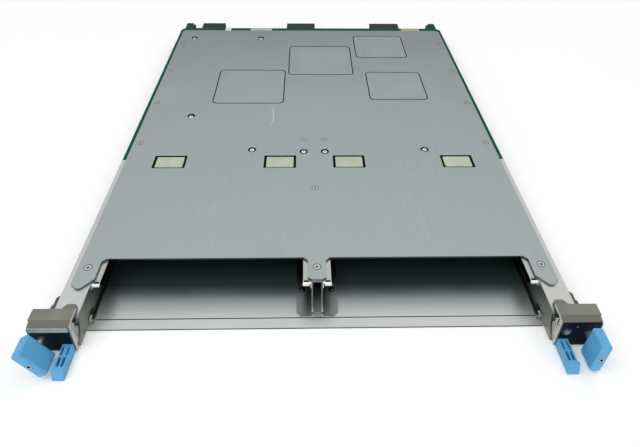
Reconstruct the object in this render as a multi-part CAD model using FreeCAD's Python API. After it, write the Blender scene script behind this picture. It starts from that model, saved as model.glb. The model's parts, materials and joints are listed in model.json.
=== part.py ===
import FreeCAD, Part
import os

# Full-width line card with two open module bays, lying with its solder side up.
# Millimetres. X runs across the card, Y from the ejectors back to the connectors, Z up.
# Origin: middle of the card, on the table, at the step where the rails meet the board.

# ---------------------------------------------------------------- overall sizes
card_width = 400.0            # over the two card-guide edges
bracket_overhang = 14.0       # each ejector bracket outside the guide edge
guide_height = 25.0           # table to the top of board and rails
bracket_rise = 4.2            # ejector bracket's top above the board's
board_length = 341.5          # step at the rails to the board's rear edge
board_lead = 20.0             # how far the board reaches forward between the rails
rail_length = 195.0           # step at the rails to the end of the rail's top flange
floor_setback = 5.0           # pan's front lip behind the end of the rails
face_reach = 12.6             # ejector bracket's face in front of the end of the rails
rail_flange = 19.5            # width of the rail's top flange
half_width = card_width / 2
web_inner = half_width - rail_flange

# ---------------------------------------------------------------- sheets and plates
board_thickness = 2.4
cover_sheet = 1.6
rail_sheet = 1.5
pan_sheet = 1.2
spine_sheet = 1.2
guide_sheet = 0.8
bracket_sheet = 1.6
foot_sheet = 1.2
label_thickness = 0.6

# ---------------------------------------------------------------- clearances
edge_gap = 0.3                # between parts that only pass each other
plate_gap = 0.9               # round a backing plate in its cut-out
pad_side_gap = 2.7            # beside a pad in its window
pad_end_gap = 2.1             # in front of a pad and behind it
screw_gap = 0.15              # round a screw's shank
thread_gap = 0.05             # between a screw and the thread that takes it
bearing_gap = 0.05            # round a shaft in its bearing holes
label_hole_gap = 0.2          # round a shaft in the label plate
button_gap = 0.15             # round the push button

# ---------------------------------------------------------------- cover
cover_side_margin = 4.5       # cover's side edge inside the guide edge
cover_rear_margin = 12.5      # cover's rear edge in front of the board's
cover_corner = 4.0            # chamfer at the cover's rear corners
bay_mouth = 55.6              # end of the rails to the cover's edge over the bays
notch_chamfer = 3.4
tongue_half_width = 7.5
tongue_length = 23.7          # from the bay edge to the tongue's tip
tongue_chamfer = 3.2
tongue_chamfer_rise = 2.2
ear_width = 17.1              # from the cover's side edge inwards
ear_length = 31.1
spine_reach = 0.8             # spine's front end ahead of the tongue's tip
ear_inner_run = 8.6           # sloped side towards the bay, across
ear_inner_rise = 9.5          # sloped side towards the bay, along
ear_outer_chamfer = 4.9

# Windows over the module connectors: two on each side of the middle.
inner_window_x = 35.9
outer_window_inset = 30.9     # outer window's centre from the rail's web
window_offsets = (inner_window_x, web_inner - outer_window_inset)
window_centre_y = -5.6
window_width = 33.4
window_depth = 21.2
window_radius = 0.8

# Backing plates: name, centre x, centre y, side, and whether all four corners are screwed.
large_plate = 84.8
small_plate = 70.5
plate_radius = 5.0
left_plate_inset = 120.8      # left plate's middle from the left guide edge
left_plate_y = 155.2
front_plate_y = 156.7
plate_row_gap = 5.6           # left plate's edge to the centre one's, across
small_plate_gap = 9.05        # centre plate's edge to the right rear one's, across
front_plate_shift = 8.5       # right front plate further out than the right rear one
centre_plate_inset = 112.5    # centre plate from the board's rear edge
rear_plate_inset = 68.6       # right rear plate from the board's rear edge
left_plate_x = left_plate_inset - half_width
centre_plate_x = left_plate_x + large_plate + plate_row_gap
rear_plate_x = centre_plate_x + large_plate / 2 + small_plate_gap + small_plate / 2
backing_plates = (
    ("left", left_plate_x, left_plate_y, large_plate, True),
    ("centre", centre_plate_x, board_length - centre_plate_inset, large_plate, True),
    ("right_front", rear_plate_x + front_plate_shift, front_plate_y, small_plate, False),
    ("right_rear", rear_plate_x, board_length - rear_plate_inset, small_plate, False),
)
plate_screw_inset = 8.5
rear_hole_inset = 40.2        # two round holes from the board's rear edge
side_hole_inset = 57.5        # middle left hole from the left guide edge
side_hole_y = 83.4
corner_hole_inset = 25.6      # left rear hole from the left guide edge
plate_hole_shift = 3.2        # the other rear hole outside the left plate's middle
rear_hole_y = board_length - rear_hole_inset
side_holes = (
    (side_hole_inset - half_width, side_hole_y),
    (corner_hole_inset - half_width, rear_hole_y),
    (left_plate_x + plate_hole_shift, rear_hole_y),
)
side_screw_shift = 1.3        # screws in the side holes in front of the holes' middles

# ---------------------------------------------------------------- screws
screw_head_radius = 3.1
screw_head_height = 0.9
screw_shank_radius = 1.5
plate_screw_radius = 1.3
access_hole_radius = 4.4      # cover hole over a board screw
board_screw_head_radius = 2.6
board_screw_head_height = 1.2
nut_radius = 2.8
nut_height = 4.0
screw_run = 0.5               # screw ends this far inside its thread's blind end
edge_screw_inset = 11.7       # row of cover screws from each guide edge
edge_screw_start = 28.5
edge_screw_pitch = 84.8
edge_screw_count = 4
ear_screw_inset = 12.7        # ear screw from the guide edge
ear_screw_reach = 9.4         # ear screw in front of the bay edge
tongue_screw_reach = 10.5
middle_screw_y = -48.3
pair_screw_x = 11.3
pair_screw_y = 34.9
board_pair_y = 12.2
board_screw_y = 15.6
left_screw_inset = 133.5      # outer board screws from the guide edges
right_screw_inset = 81.1
front_board_screws = (
    (left_screw_inset - half_width, board_screw_y),
    (-pair_screw_x, board_pair_y),
    (pair_screw_x, board_pair_y),
    (half_width - right_screw_inset, board_screw_y),
)
board_screws = front_board_screws + tuple((x, y - side_screw_shift) for x, y in side_holes)
access_holes = front_board_screws + side_holes

# ---------------------------------------------------------------- board and what it carries
board_corner = 6.0
package_side = 45.0
package_height = 2.6
heatsink_base = 4.0
fin_pitch = 6.0
fin_thickness = 1.4
converter_width = 36.8        # quarter-brick power converter
converter_length = 58.4
converter_height = 12.7
converter_inset = 45.0        # converters from the left guide edge
converter_rear_inset = 93.5   # rear converter from the board's rear edge
converter_gap = 11.6
converter_groove = 3.0
converter_grooves = 8
converter_x = converter_inset - half_width
rear_converter_y = board_length - converter_rear_inset
converter_centres = (
    (converter_x, rear_converter_y - converter_length - converter_gap),
    (converter_x, rear_converter_y),
)
lid_share = 0.8               # package lid's side over the package's
package_lid_height = 1.56
heatsink_skin = 0.3           # left under a heatsink's blind screw holes

# ---------------------------------------------------------------- rear connectors
connector_overhang = 20.0     # behind the board's rear edge
connector_root = 18.0         # under the board
connector_drop = 0.4          # top of the overhang under the board's top
connector_floor = 3.0         # table to the connector's underside
left_connector_inset = 47.4   # connector's middle from its guide edge
right_connector_inset = 85.3
rear_connectors = (
    ("left", left_connector_inset - half_width, 34.8),
    ("centre", -16.6, 43.7),
    ("right", half_width - right_connector_inset, 44.9),
)
contact_margin = 2.0          # solid wall at a connector's two ends together
contact_pitch = 7.2
contact_slot_width = 3.4
contact_slot_height = 4.2
contact_slot_depth = 3.0
contact_rows = 3
guide_module_inset = 11.0     # guide module's middle from the guide edge
guide_module_width = 13.0
guide_module_height = 20.0
guide_socket_radius = 3.6
guide_socket_depth = 18.0
guide_socket_mouth = 4.8
guide_key_width = 3.4         # keying step in the module's upper inner corner
guide_key_depth = 3.0
guide_key_length = 5.0

# ---------------------------------------------------------------- module bays
rail_foot = 10.0
rail_front_step = 14.0        # flange left beside the bracket
web_toe_reach = 8.5           # web's lower front corner in front of the flange's end
web_toe_height = 3.6          # table to the top of that corner's blunt end
web_hollow = 2.2              # how far the web's slanted front edge is hollowed
rail_lip_width = 4.6          # inner corner of the flange, bent down under the bracket
rail_lip_reach = 3.2
rail_lip_drop = 2.6
web_hole_setback = 2.5        # hole in the web behind the front of the bay guide's tip
web_hole_height = 18.0
web_hole_radius = 2.2
rail_fold_drop = 6.0          # end fold of the flange, down from the rail's top
foot_setback = 5.0            # rail's foot behind the pan's front lip
module_connector_width = 32.0
module_connector_depth = 17.0
module_connector_drop = 15.0
module_connector_front = 17.5
shroud_wall = 1.5
shroud_floor = 2.0
shroud_depth = 6.0
tongue_inset = 3.5
tongue_recess = 1.0
tongue_thickness = 3.2
spine_half_width = 4.6
guide_lip = 6.8               # width of a bay guide's lips
guide_slot_height = 5.0
guide_setback = 28.0          # front of the curled tip behind the end of the rails
guide_rear_gap = 4.0          # guide's rear end in front of the board
guide_lead = 5.0              # web and lower lip cut back at the front
guide_web_left = 1.2          # web left under the upper lip there
guide_lug_width = 1.6         # lug from the tip down to the hole in the web
guide_lug_foot = 19.0         # table to the lug's lower end
guide_slot_start = 2.0        # slot's inner end from the guide's web
guide_slot_wall = 0.7
guide_tip_inset = 1.6
guide_tip_overhang = 0.3
guide_tip_radius = 1.3
guide_slot_length = 2.3
lip_groove_setback = 9.5      # bend groove behind the pan's front lip
lip_groove_width = 0.9
lip_groove_depth = 0.5
pan_rear_reach = 6.0          # pan's rear edge behind the step
pan_rear_lip = 6.0
foot_width = 12.4
foot_front_setback = 10.3     # divider bracket behind the pan's front lip
foot_length = 58.0
foot_lip_setback = 1.2
foot_lip_height = 3.4
foot_chamfer = 3.2
foot_screw_reach = 26.4       # foot screw behind the divider bracket's front
foot_screw_share = 0.62       # foot screw's place across the foot
foot_screw_taper = 0.55
foot_screw_radius = 2.7
foot_screw_height = 1.9
corner_ear_radius = 4.4       # upturned ear of the pan beside each web
corner_ear_hole = 1.5
corner_ear_rise = 0.8         # straight foot of the ear under its round top
corner_ear_hole_rise = 2.6
corner_ear_setback = 5.2      # ear's middle behind the bend groove
rivet_radius = 2.0
rivet_height = 0.9
rivet_start = 30.0
rivet_pitch = 55.0
rivet_count = 3
rivet_share = 0.55            # rivets' place across the rail's foot

# ---------------------------------------------------------------- ejectors
bracket_lift = 0.6            # bracket's lower edge above the table
bracket_depth = 15.8          # face to the bracket's rear wall
bracket_bend_run = 5.6        # sloped front strip of the top plate
bracket_bend_drop = 1.4
bracket_notch = 1.0           # front strip narrower than the rest of the top
bracket_notch_height = 2.4
rear_wall_width = 17.0
inner_flange_top = 3.6        # width of the bracket's inner flange under the top plate
inner_flange_foot = 6.2       # and at its foot
inner_flange_lift = 3.4       # foot of the inner flange above the bracket's lower edge
inner_flange_bow = 0.7        # how far its rear edge is hollowed
dimple_radius = 0.7
dimple_setback = 2.0          # dimple behind the bracket's face
dimple_drop = 7.0             # dimple under the bracket's top
tab_width = 9.8
tab_reach = 6.4
tab_inset = 0.9
tab_round = 3.2
tab_overlap = 3.0             # tab's root inside the top plate
tab_step_start = 0.1          # where the tab's step begins and ends, as shares of its reach
tab_step_end = 0.6
tab_step_inner = 0.5          # and where its underside reaches the rail
label_margin = 1.6
label_drop = 0.4              # label plate under the bend at the bracket's front
shaft_inset = 9.6             # ejector shaft inside the bracket's outer side
shaft_height = 16.4
shaft_radius = 2.5
shaft_setback = 24.5          # shaft's rear end behind the end of the rails
shaft_tip = 2.0
shaft_tip_share = 0.6
collar_radius = 3.5           # thicker part of the shaft behind the bracket
collar_length = 10.0
knob_gap = 5.6                # label plate to the knob's back
knob_depth = 18.0
knob_length = 28.0
knob_thickness = 8.2
knob_round = 2.0
knob_wall = 4.0               # in front of the shaft, under the knob screw's head
knob_lean_left = 31.5         # rest angle from upright, degrees
knob_lean_right = 4.5
knob_screw_head_radius = 2.5
knob_screw_head_height = 1.4
knob_screw_radius = 1.2
knob_screw_length = 9.0
knob_screw_clear = 1.0        # tapped hole past the screw's end
ring_radius = 4.2
ring_thickness = 0.8
ring_gap = 0.2

# ---------------------------------------------------------------- pull handles
handle_width = 7.6
handle_inset = 1.3            # handle's inner side outside the bracket's
handle_height = 8.6
handle_lift = 0.3
handle_length = 22.0
handle_wall = 1.1
handle_pocket_depth = 5.5
handle_rib = 1.2
handle_end = 2.6
handle_nose = 0.9
handle_toe = 2.6              # nose's lower edge in front of its upper one
handle_toe_height = 1.2       # upright foot of the nose
handle_root = 2.2             # solid behind the pockets
handle_front_wall = 0.6
handle_front_rib = 1.2
handle_rear_rib = 2.9
handle_screw_height = 2.8     # table to the screw at the handle's root
handle_screw_radius = 1.0
handle_screw_depth = 1.6
handle_screw_head_radius = 2.0
handle_screw_head_height = 1.2

# ---------------------------------------------------------------- button and lamp
button_inset = 5.9            # button outside the bracket's inner side
button_height = 17.6
button_radius = 2.2
button_stroke = 0.8
button_proud = 1.0
button_collar = 0.7
button_collar_lip = 0.6
button_stem_radius = 1.0
button_stem_length = 1.0
switch_width = 7.0
switch_depth = 4.5
switch_well = 2.2
lamp_inset = 12.7             # lamp outside the bracket's inner side
lamp_drop = 5.8               # lamp under the bracket's top
lamp_radius = 1.0
lamp_proud = 0.2
lamp_flange = 0.9
lamp_flange_thickness = 1.0

# ---------------------------------------------------------------- worked out from the above
board_under = guide_height - board_thickness
cover_top = guide_height + cover_sheet
web_outer = web_inner + rail_sheet
lip_y = floor_setback - rail_length
face_y = -rail_length - face_reach
label_face_y = face_y - label_thickness
board_rear = board_length
connector_rear = board_length + connector_overhang
connector_rise = guide_height - connector_drop
bracket_outer = half_width + bracket_overhang
bracket_inner = web_outer
bracket_rear = face_y + bracket_depth
bracket_height = guide_height + bracket_rise
bay_edge = rail_length - bay_mouth
tongue_tip = -bay_edge - tongue_length
spine_front = tongue_tip - spine_reach
groove_y = lip_y + lip_groove_setback
foot_front_y = lip_y + foot_front_setback
foot_screw_y = foot_front_y + foot_screw_reach
shaft_offset = bracket_outer - shaft_inset
shaft_rear_y = shaft_setback - rail_length
edge_screw_x = half_width - edge_screw_inset
ear_screw_x = half_width - ear_screw_inset
ear_screw_y = -bay_edge - ear_screw_reach
tongue_screw_y = -bay_edge - tongue_screw_reach
guide_module_x = half_width - guide_module_inset
handle_inner = bracket_inner + handle_inset
handle_screw_x = handle_inner + handle_width / 2
button_x = bracket_inner + button_inset
lamp_x = bracket_inner + lamp_inset
lamp_height = bracket_height - lamp_drop


def vec(x, y, z):
    return FreeCAD.Vector(x, y, z)


def box(x0, x1, y0, y1, z0, z1):
    return Part.makeBox(x1 - x0, y1 - y0, z1 - z0, vec(x0, y0, z0))


def post(x, y, z0, z1, radius):
    """Upright cylinder."""
    return Part.makeCylinder(radius, z1 - z0, vec(x, y, z0), vec(0, 0, 1))


def rod(x, z, y0, y1, radius):
    """Cylinder lying along Y."""
    return Part.makeCylinder(radius, y1 - y0, vec(x, y0, z), vec(0, 1, 0))


def sheet(points, z0, thickness):
    """Flat sheet with a polygon outline, lying at height z0."""
    corners = [vec(x, y, z0) for x, y in points]
    face = Part.Face(Part.makePolygon(corners + corners[:1]))
    return face.extrude(vec(0, 0, thickness))


def profile_along_x(points, x0, x1):
    """Polygon given as (y, z), extruded across the card."""
    corners = [vec(x0, y, z) for y, z in points]
    face = Part.Face(Part.makePolygon(corners + corners[:1]))
    return face.extrude(vec(x1 - x0, 0, 0))


def profile_along_y(points, y0, y1):
    """Polygon given as (x, z), extruded along the card."""
    corners = [vec(x, y0, z) for x, z in points]
    face = Part.Face(Part.makePolygon(corners + corners[:1]))
    return face.extrude(vec(0, y1 - y0, 0))


def round_upright_edges(solid, radius):
    """Fillet every edge that runs along Z."""
    edges = []
    for edge in solid.Edges:
        start = edge.Vertexes[0].Point
        end = edge.Vertexes[-1].Point
        if abs(start.x - end.x) < 1e-6 and abs(start.y - end.y) < 1e-6:
            edges.append(edge)
    return solid.makeFillet(radius, edges)


def rounded_plate(cx, cy, width, depth, radius, z0, thickness):
    flat = box(cx - width / 2, cx + width / 2, cy - depth / 2, cy + depth / 2, z0, z0 + thickness)
    return round_upright_edges(flat, radius)


def mirrored(shape):
    """The same part for the other side of the card."""
    return shape.mirror(vec(0, 0, 0), vec(1, 0, 0))


def on_side(shape, side):
    return shape if side > 0 else mirrored(shape)


def cut_all(solid, tools):
    return solid.cut(Part.makeCompound(tools))


def corner_screws(cx, cy, side, all_four):
    """Screw places on a backing plate: four corners, or the rear right and front left one."""
    reach = side / 2 - plate_screw_inset
    places = [(cx - reach, cy - reach), (cx + reach, cy + reach)]
    if all_four:
        places += [(cx + reach, cy - reach), (cx - reach, cy + reach)]
    return places


def edge_screws():
    places = []
    for index in range(edge_screw_count):
        y = edge_screw_start + index * edge_screw_pitch
        places += [(-edge_screw_x, y), (edge_screw_x, y)]
    return places


board_cover_screws = edge_screws() + [(-pair_screw_x, pair_screw_y), (pair_screw_x, pair_screw_y)]
spine_screws = [(0.0, tongue_screw_y), (0.0, middle_screw_y)]
ear_screws = [(-ear_screw_x, ear_screw_y), (ear_screw_x, ear_screw_y)]
cover_screw_places = board_cover_screws + spine_screws + ear_screws


# ---------------------------------------------------------------- cover, plates and screws
def cover_outline():
    side = half_width - cover_side_margin
    rear = board_rear - cover_rear_margin
    ear_inner = side - ear_width
    ear_tip = -bay_edge - ear_length
    right = [
        (tongue_half_width - tongue_chamfer, tongue_tip),
        (tongue_half_width, tongue_tip + tongue_chamfer_rise),
        (tongue_half_width, -bay_edge - notch_chamfer),
        (tongue_half_width + notch_chamfer, -bay_edge),
        (ear_inner - notch_chamfer, -bay_edge),
        (ear_inner, -bay_edge - notch_chamfer),
        (ear_inner, ear_tip + ear_inner_rise),
        (ear_inner + ear_inner_run, ear_tip),
        (side - ear_outer_chamfer, ear_tip),
        (side, ear_tip + ear_outer_chamfer),
        (side, rear - cover_corner),
        (side - cover_corner, rear),
    ]
    left = [(-x, y) for x, y in reversed(right)]
    return right + left


def make_cover():
    blank = sheet(cover_outline(), guide_height, cover_sheet)
    cuts = []
    for name, cx, cy, side, all_four in backing_plates:
        hole = side + 2 * plate_gap
        cuts.append(rounded_plate(cx, cy, hole, hole, plate_radius + plate_gap, guide_height, cover_sheet))
    for offset in window_offsets:
        for x in (-offset, offset):
            cuts.append(rounded_plate(x, window_centre_y, window_width, window_depth, window_radius,
                                      guide_height, cover_sheet))
    for x, y in cover_screw_places:
        cuts.append(post(x, y, guide_height, cover_top, screw_shank_radius + screw_gap))
        cuts.append(post(x, y, cover_top - screw_head_height, cover_top, screw_head_radius + screw_gap))
    for x, y in access_holes:
        cuts.append(post(x, y, guide_height, cover_top, access_hole_radius))
    return cut_all(blank, cuts)


def make_backing_plate(cx, cy, side, all_four):
    plate = rounded_plate(cx, cy, side, side, plate_radius, guide_height, cover_sheet)
    cuts = []
    for x, y in corner_screws(cx, cy, side, all_four):
        cuts.append(post(x, y, guide_height, cover_top, plate_screw_radius + screw_gap))
        cuts.append(post(x, y, cover_top - screw_head_height, cover_top, screw_head_radius + screw_gap))
    return cut_all(plate, cuts)


def flush_screw(x, y, z_end, shank_radius):
    """Flat-headed screw whose head lies level with the cover."""
    head = post(x, y, cover_top - screw_head_height, cover_top, screw_head_radius)
    return head.fuse(post(x, y, z_end, cover_top - screw_head_height, shank_radius))


def heatsink_top():
    return board_under - package_height


def make_plate_screws():
    screws = []
    end = heatsink_top() - heatsink_base + screw_run
    for name, cx, cy, side, all_four in backing_plates:
        for x, y in corner_screws(cx, cy, side, all_four):
            screws.append(flush_screw(x, y, end, plate_screw_radius))
    return Part.makeCompound(screws)


def nut_top(place):
    if place in board_cover_screws:
        return board_under
    if place in spine_screws:
        return guide_height - spine_sheet
    return guide_height - rail_sheet


def make_cover_screws():
    screws = []
    for place in cover_screw_places:
        end = nut_top(place) - nut_height + screw_run
        screws.append(flush_screw(place[0], place[1], end, screw_shank_radius))
    return Part.makeCompound(screws)


def make_board_screws():
    screws = []
    for x, y in board_screws:
        head = post(x, y, guide_height, guide_height + board_screw_head_height, board_screw_head_radius)
        shank = post(x, y, board_under - nut_height + screw_run, guide_height, screw_shank_radius)
        screws.append(head.fuse(shank))
    return Part.makeCompound(screws)


def make_nuts():
    """Press-in nuts under the board, the spine and the rails."""
    nuts = []
    tops = [(place[0], place[1], nut_top(place)) for place in cover_screw_places]
    tops += [(x, y, board_under) for x, y in board_screws]
    for x, y, top in tops:
        body = post(x, y, top - nut_height, top, nut_radius)
        bore = post(x, y, top - nut_height, top, screw_shank_radius + thread_gap)
        nuts.append(body.cut(bore))
    return Part.makeCompound(nuts)


# ---------------------------------------------------------------- board and what it carries
def make_board():
    lead_half = web_inner - edge_gap
    outline = [
        (-lead_half, -board_lead), (lead_half, -board_lead), (lead_half, edge_gap),
        (half_width, edge_gap), (half_width, board_rear - board_corner),
        (half_width - board_corner, board_rear), (-half_width + board_corner, board_rear),
        (-half_width, board_rear - board_corner), (-half_width, edge_gap), (-lead_half, edge_gap),
    ]
    blank = sheet(outline, board_under, board_thickness)
    cuts = []
    for x, y in board_cover_screws + list(board_screws):
        cuts.append(post(x, y, board_under, guide_height, screw_shank_radius + screw_gap))
    for name, cx, cy, side, all_four in backing_plates:
        for x, y in corner_screws(cx, cy, side, all_four):
            cuts.append(post(x, y, board_under, guide_height, plate_screw_radius + screw_gap))
    return cut_all(blank, cuts)


def make_package(cx, cy):
    """Chip package: a substrate with a smaller lid towards the heatsink."""
    half = package_side / 2
    lid_half = lid_share * half
    lid_top = heatsink_top() + package_lid_height
    substrate = box(cx - half, cx + half, cy - half, cy + half, lid_top, board_under)
    lid = box(cx - lid_half, cx + lid_half, cy - lid_half, cy + lid_half, heatsink_top(), lid_top)
    return substrate.fuse(lid)


def make_heatsink(cx, cy, side, all_four):
    """Finned block: the fins run across the card, the way the air goes, and end level with the pan."""
    half = side / 2
    top = heatsink_top()
    base = box(cx - half, cx + half, cy - half, cy + half, top - heatsink_base, top)
    count = int(side // fin_pitch)
    first = cy - (count - 1) * fin_pitch / 2
    fins = []
    for index in range(count):
        y = first + index * fin_pitch
        fins.append(box(cx - half, cx + half, y - fin_thickness / 2, y + fin_thickness / 2, 0,
                        top - heatsink_base))
    solid = base.multiFuse(fins).removeSplitter()
    holes = []
    for x, y in corner_screws(cx, cy, side, all_four):
        holes.append(post(x, y, top - heatsink_base + heatsink_skin, top, plate_screw_radius + thread_gap))
    return cut_all(solid, holes)


def make_converter(cx, cy):
    """Power converter brick with a grooved heat spreader."""
    x0 = cx - converter_width / 2
    x1 = cx + converter_width / 2
    rear = cy - converter_length / 2
    base = board_under - converter_height
    brick = box(x0, x1, rear, rear + converter_length, base, board_under)
    pitch = converter_length / (converter_grooves + 1)
    grooves = []
    for index in range(converter_grooves):
        y = rear + (index + 1) * pitch
        grooves.append(box(x0, x1, y - pitch / 4, y + pitch / 4, base, base + converter_groove))
    return cut_all(brick, grooves)


def make_rear_connector(cx, width):
    """Right-angle backplane connector: root under the board, slotted face at the rear."""
    half = width / 2
    root = box(cx - half, cx + half, board_rear - connector_root, board_rear + edge_gap, connector_floor,
               board_under)
    overhang = box(cx - half, cx + half, board_rear + edge_gap, connector_rear, connector_floor,
                   connector_rise)
    body = root.fuse(overhang).removeSplitter()
    columns = int((width - contact_margin) // contact_pitch)
    row_pitch = (connector_rise - connector_floor) / contact_rows
    slots = []
    for column in range(columns):
        x = cx + (column - (columns - 1) / 2) * contact_pitch
        for row in range(contact_rows):
            z = connector_floor + (row + 0.5) * row_pitch
            slots.append(box(x - contact_slot_width / 2, x + contact_slot_width / 2,
                             connector_rear - contact_slot_depth, connector_rear,
                             z - contact_slot_height / 2, z + contact_slot_height / 2))
    return cut_all(body, slots)


def socket_height():
    return connector_rise - guide_module_height / 2


def make_guide_module():
    """Guide block with a blind socket that takes the backplane's guide pin."""
    x = guide_module_x
    half = guide_module_width / 2
    top = connector_rise
    foot = top - guide_module_height
    body = box(x - half, x + half, board_rear + edge_gap, connector_rear, foot, top)
    root = box(x - half, x + half, board_rear - connector_root, board_rear + edge_gap, foot, board_under)
    body = body.fuse(root).removeSplitter()
    socket = rod(x, socket_height(), connector_rear - guide_socket_depth, connector_rear,
                 guide_socket_radius)
    flare = guide_socket_mouth - guide_socket_radius
    mouth = Part.makeCone(guide_socket_radius, guide_socket_mouth, flare,
                          vec(x, connector_rear - flare, socket_height()), vec(0, 1, 0))
    key = box(x - half, x - half + guide_key_width, connector_rear - guide_key_length, connector_rear,
              top - guide_key_depth, top)
    return cut_all(body, [socket, mouth, key])


# ---------------------------------------------------------------- module bays
def make_module_connector(x):
    """Connector under the board's front edge: a shroud open to the bay, with a contact tongue in it."""
    half = module_connector_width / 2
    front = -module_connector_front
    low = board_under - module_connector_drop
    middle = (low + board_under) / 2
    back = front + shroud_depth
    body = box(x - half, x + half, front, front + module_connector_depth, low, board_under)
    shroud = box(x - half + shroud_wall, x + half - shroud_wall, front, back, low + shroud_floor,
                 board_under - shroud_floor)
    tongue = box(x - half + tongue_inset, x + half - tongue_inset, front + tongue_recess, back,
                 middle - tongue_thickness / 2, middle + tongue_thickness / 2)
    return body.cut(shroud).fuse(tongue).removeSplitter()


def make_window_pads():
    """Pads over the pin fields of the four module connectors, one in each window."""
    pads = []
    for offset in window_offsets:
        for x in (-offset, offset):
            pads.append(rounded_plate(x, window_centre_y, window_width - 2 * pad_side_gap,
                                      window_depth - 2 * pad_end_gap, window_radius, guide_height,
                                      cover_sheet - edge_gap))
    return Part.makeCompound(pads)


def make_rail_web_toe():
    """Front of the rail's web: a hollowed slope from under the flange down to a blunt toe."""
    root = -rail_length
    toe = root - web_toe_reach
    head = guide_height - rail_sheet
    top_point = vec(web_inner, root, head)
    middle_point = vec(web_inner, (root + toe) / 2 + web_hollow, (head + web_toe_height) / 2)
    toe_point = vec(web_inner, toe, web_toe_height)
    slope = Part.Arc(top_point, middle_point, toe_point).toShape()
    rest = Part.makePolygon([toe_point, vec(web_inner, toe, pan_sheet), vec(web_inner, root, pan_sheet),
                             top_point])
    outline = Part.Wire(Part.__sortEdges__([slope] + rest.Edges))
    return Part.Face(outline).extrude(vec(rail_sheet, 0, 0))


def make_rail():
    """Right rail: top flange that runs in the card guide, web beside the bay, foot on the pan."""
    foot_outer = web_outer + rail_foot
    foot_top = pan_sheet + rail_sheet
    flange_under = guide_height - rail_sheet
    section = [
        (web_inner, guide_height), (half_width, guide_height), (half_width, flange_under),
        (web_outer, flange_under), (web_outer, foot_top), (foot_outer, foot_top),
        (foot_outer, pan_sheet), (web_inner, pan_sheet),
    ]
    solid = profile_along_y(section, -rail_length, 0)
    beside_bracket = web_inner + rail_front_step
    front_step = box(beside_bracket, half_width, -rail_length, bracket_rear + edge_gap, flange_under,
                     guide_height)
    foot_step = box(web_outer, foot_outer, -rail_length, lip_y + foot_setback, pan_sheet, foot_top)
    lip_front = -rail_length - rail_lip_reach
    lip = profile_along_x([
        (-rail_length, guide_height), (lip_front, guide_height - rail_lip_drop),
        (lip_front, flange_under - rail_lip_drop), (-rail_length, flange_under)],
        web_inner, web_inner + rail_lip_width)
    fold = box(web_outer, beside_bracket, -rail_length, -rail_length + rail_sheet,
               guide_height - rail_fold_drop, flange_under)
    ear_hole = post(ear_screw_x, ear_screw_y, 0, guide_height, screw_shank_radius + screw_gap)
    web_hole = Part.makeCylinder(web_hole_radius, rail_sheet,
                                 vec(web_inner, guide_front_y() + web_hole_setback, web_hole_height),
                                 vec(1, 0, 0))
    solid = cut_all(solid, [front_step, foot_step])
    solid = solid.multiFuse([make_rail_web_toe(), lip, fold]).removeSplitter()
    return cut_all(solid, [ear_hole, web_hole])


def make_corner_ear():
    """Upturned round-topped ear of the pan beside the right web, with a hole."""
    x0 = web_inner - edge_gap - pan_sheet
    y = groove_y + corner_ear_setback
    rear = y + corner_ear_radius
    front = y - corner_ear_radius
    shoulder = pan_sheet + corner_ear_rise
    arch = Part.Arc(vec(x0, front, shoulder), vec(x0, y, shoulder + corner_ear_radius),
                    vec(x0, rear, shoulder)).toShape()
    rest = Part.makePolygon([vec(x0, rear, shoulder), vec(x0, rear, pan_sheet), vec(x0, front, pan_sheet),
                             vec(x0, front, shoulder)])
    outline = Part.Wire(Part.__sortEdges__([arch] + rest.Edges))
    hole = Part.makeCylinder(corner_ear_hole, pan_sheet, vec(x0, y, pan_sheet + corner_ear_hole_rise),
                             vec(1, 0, 0))
    return Part.Face(outline).extrude(vec(pan_sheet, 0, 0)).cut(hole)


def make_pan():
    """Bay floor: a sheet with a front lip, a bend groove, two ears and a low upturned rear edge."""
    lip_half = web_inner - edge_gap
    floor_half = web_outer + rail_foot
    wide_y = lip_y + foot_setback
    rear = pan_rear_reach
    outline = [
        (-lip_half, lip_y), (lip_half, lip_y), (lip_half, wide_y), (floor_half, wide_y),
        (floor_half, rear), (-floor_half, rear), (-floor_half, wide_y), (-lip_half, wide_y),
    ]
    solid = sheet(outline, 0, pan_sheet)
    rear_lip = box(-lip_half, lip_half, rear - pan_sheet, rear, pan_sheet, pan_sheet + pan_rear_lip)
    groove = box(-lip_half, lip_half, groove_y - lip_groove_width / 2, groove_y + lip_groove_width / 2,
                 pan_sheet - lip_groove_depth, pan_sheet)
    ears = [on_side(make_corner_ear(), side) for side in (-1, 1)]
    return solid.multiFuse([rear_lip] + ears).removeSplitter().cut(groove)


def make_spine():
    """Inverted channel between the bays: it carries the cover's tongue on two walls."""
    rear = -board_lead - edge_gap
    low = pan_sheet
    high = guide_height
    half = spine_half_width
    wall = spine_sheet
    section = [
        (-half, low), (-half, high), (half, high), (half, low), (half - wall, low),
        (half - wall, high - wall), (-half + wall, high - wall), (-half + wall, low),
    ]
    solid = profile_along_y(section, spine_front, rear)
    holes = [post(x, y, 0, high, screw_shank_radius + screw_gap) for x, y in spine_screws]
    return cut_all(solid, holes)


def guide_front_y():
    return guide_setback - rail_length


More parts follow.
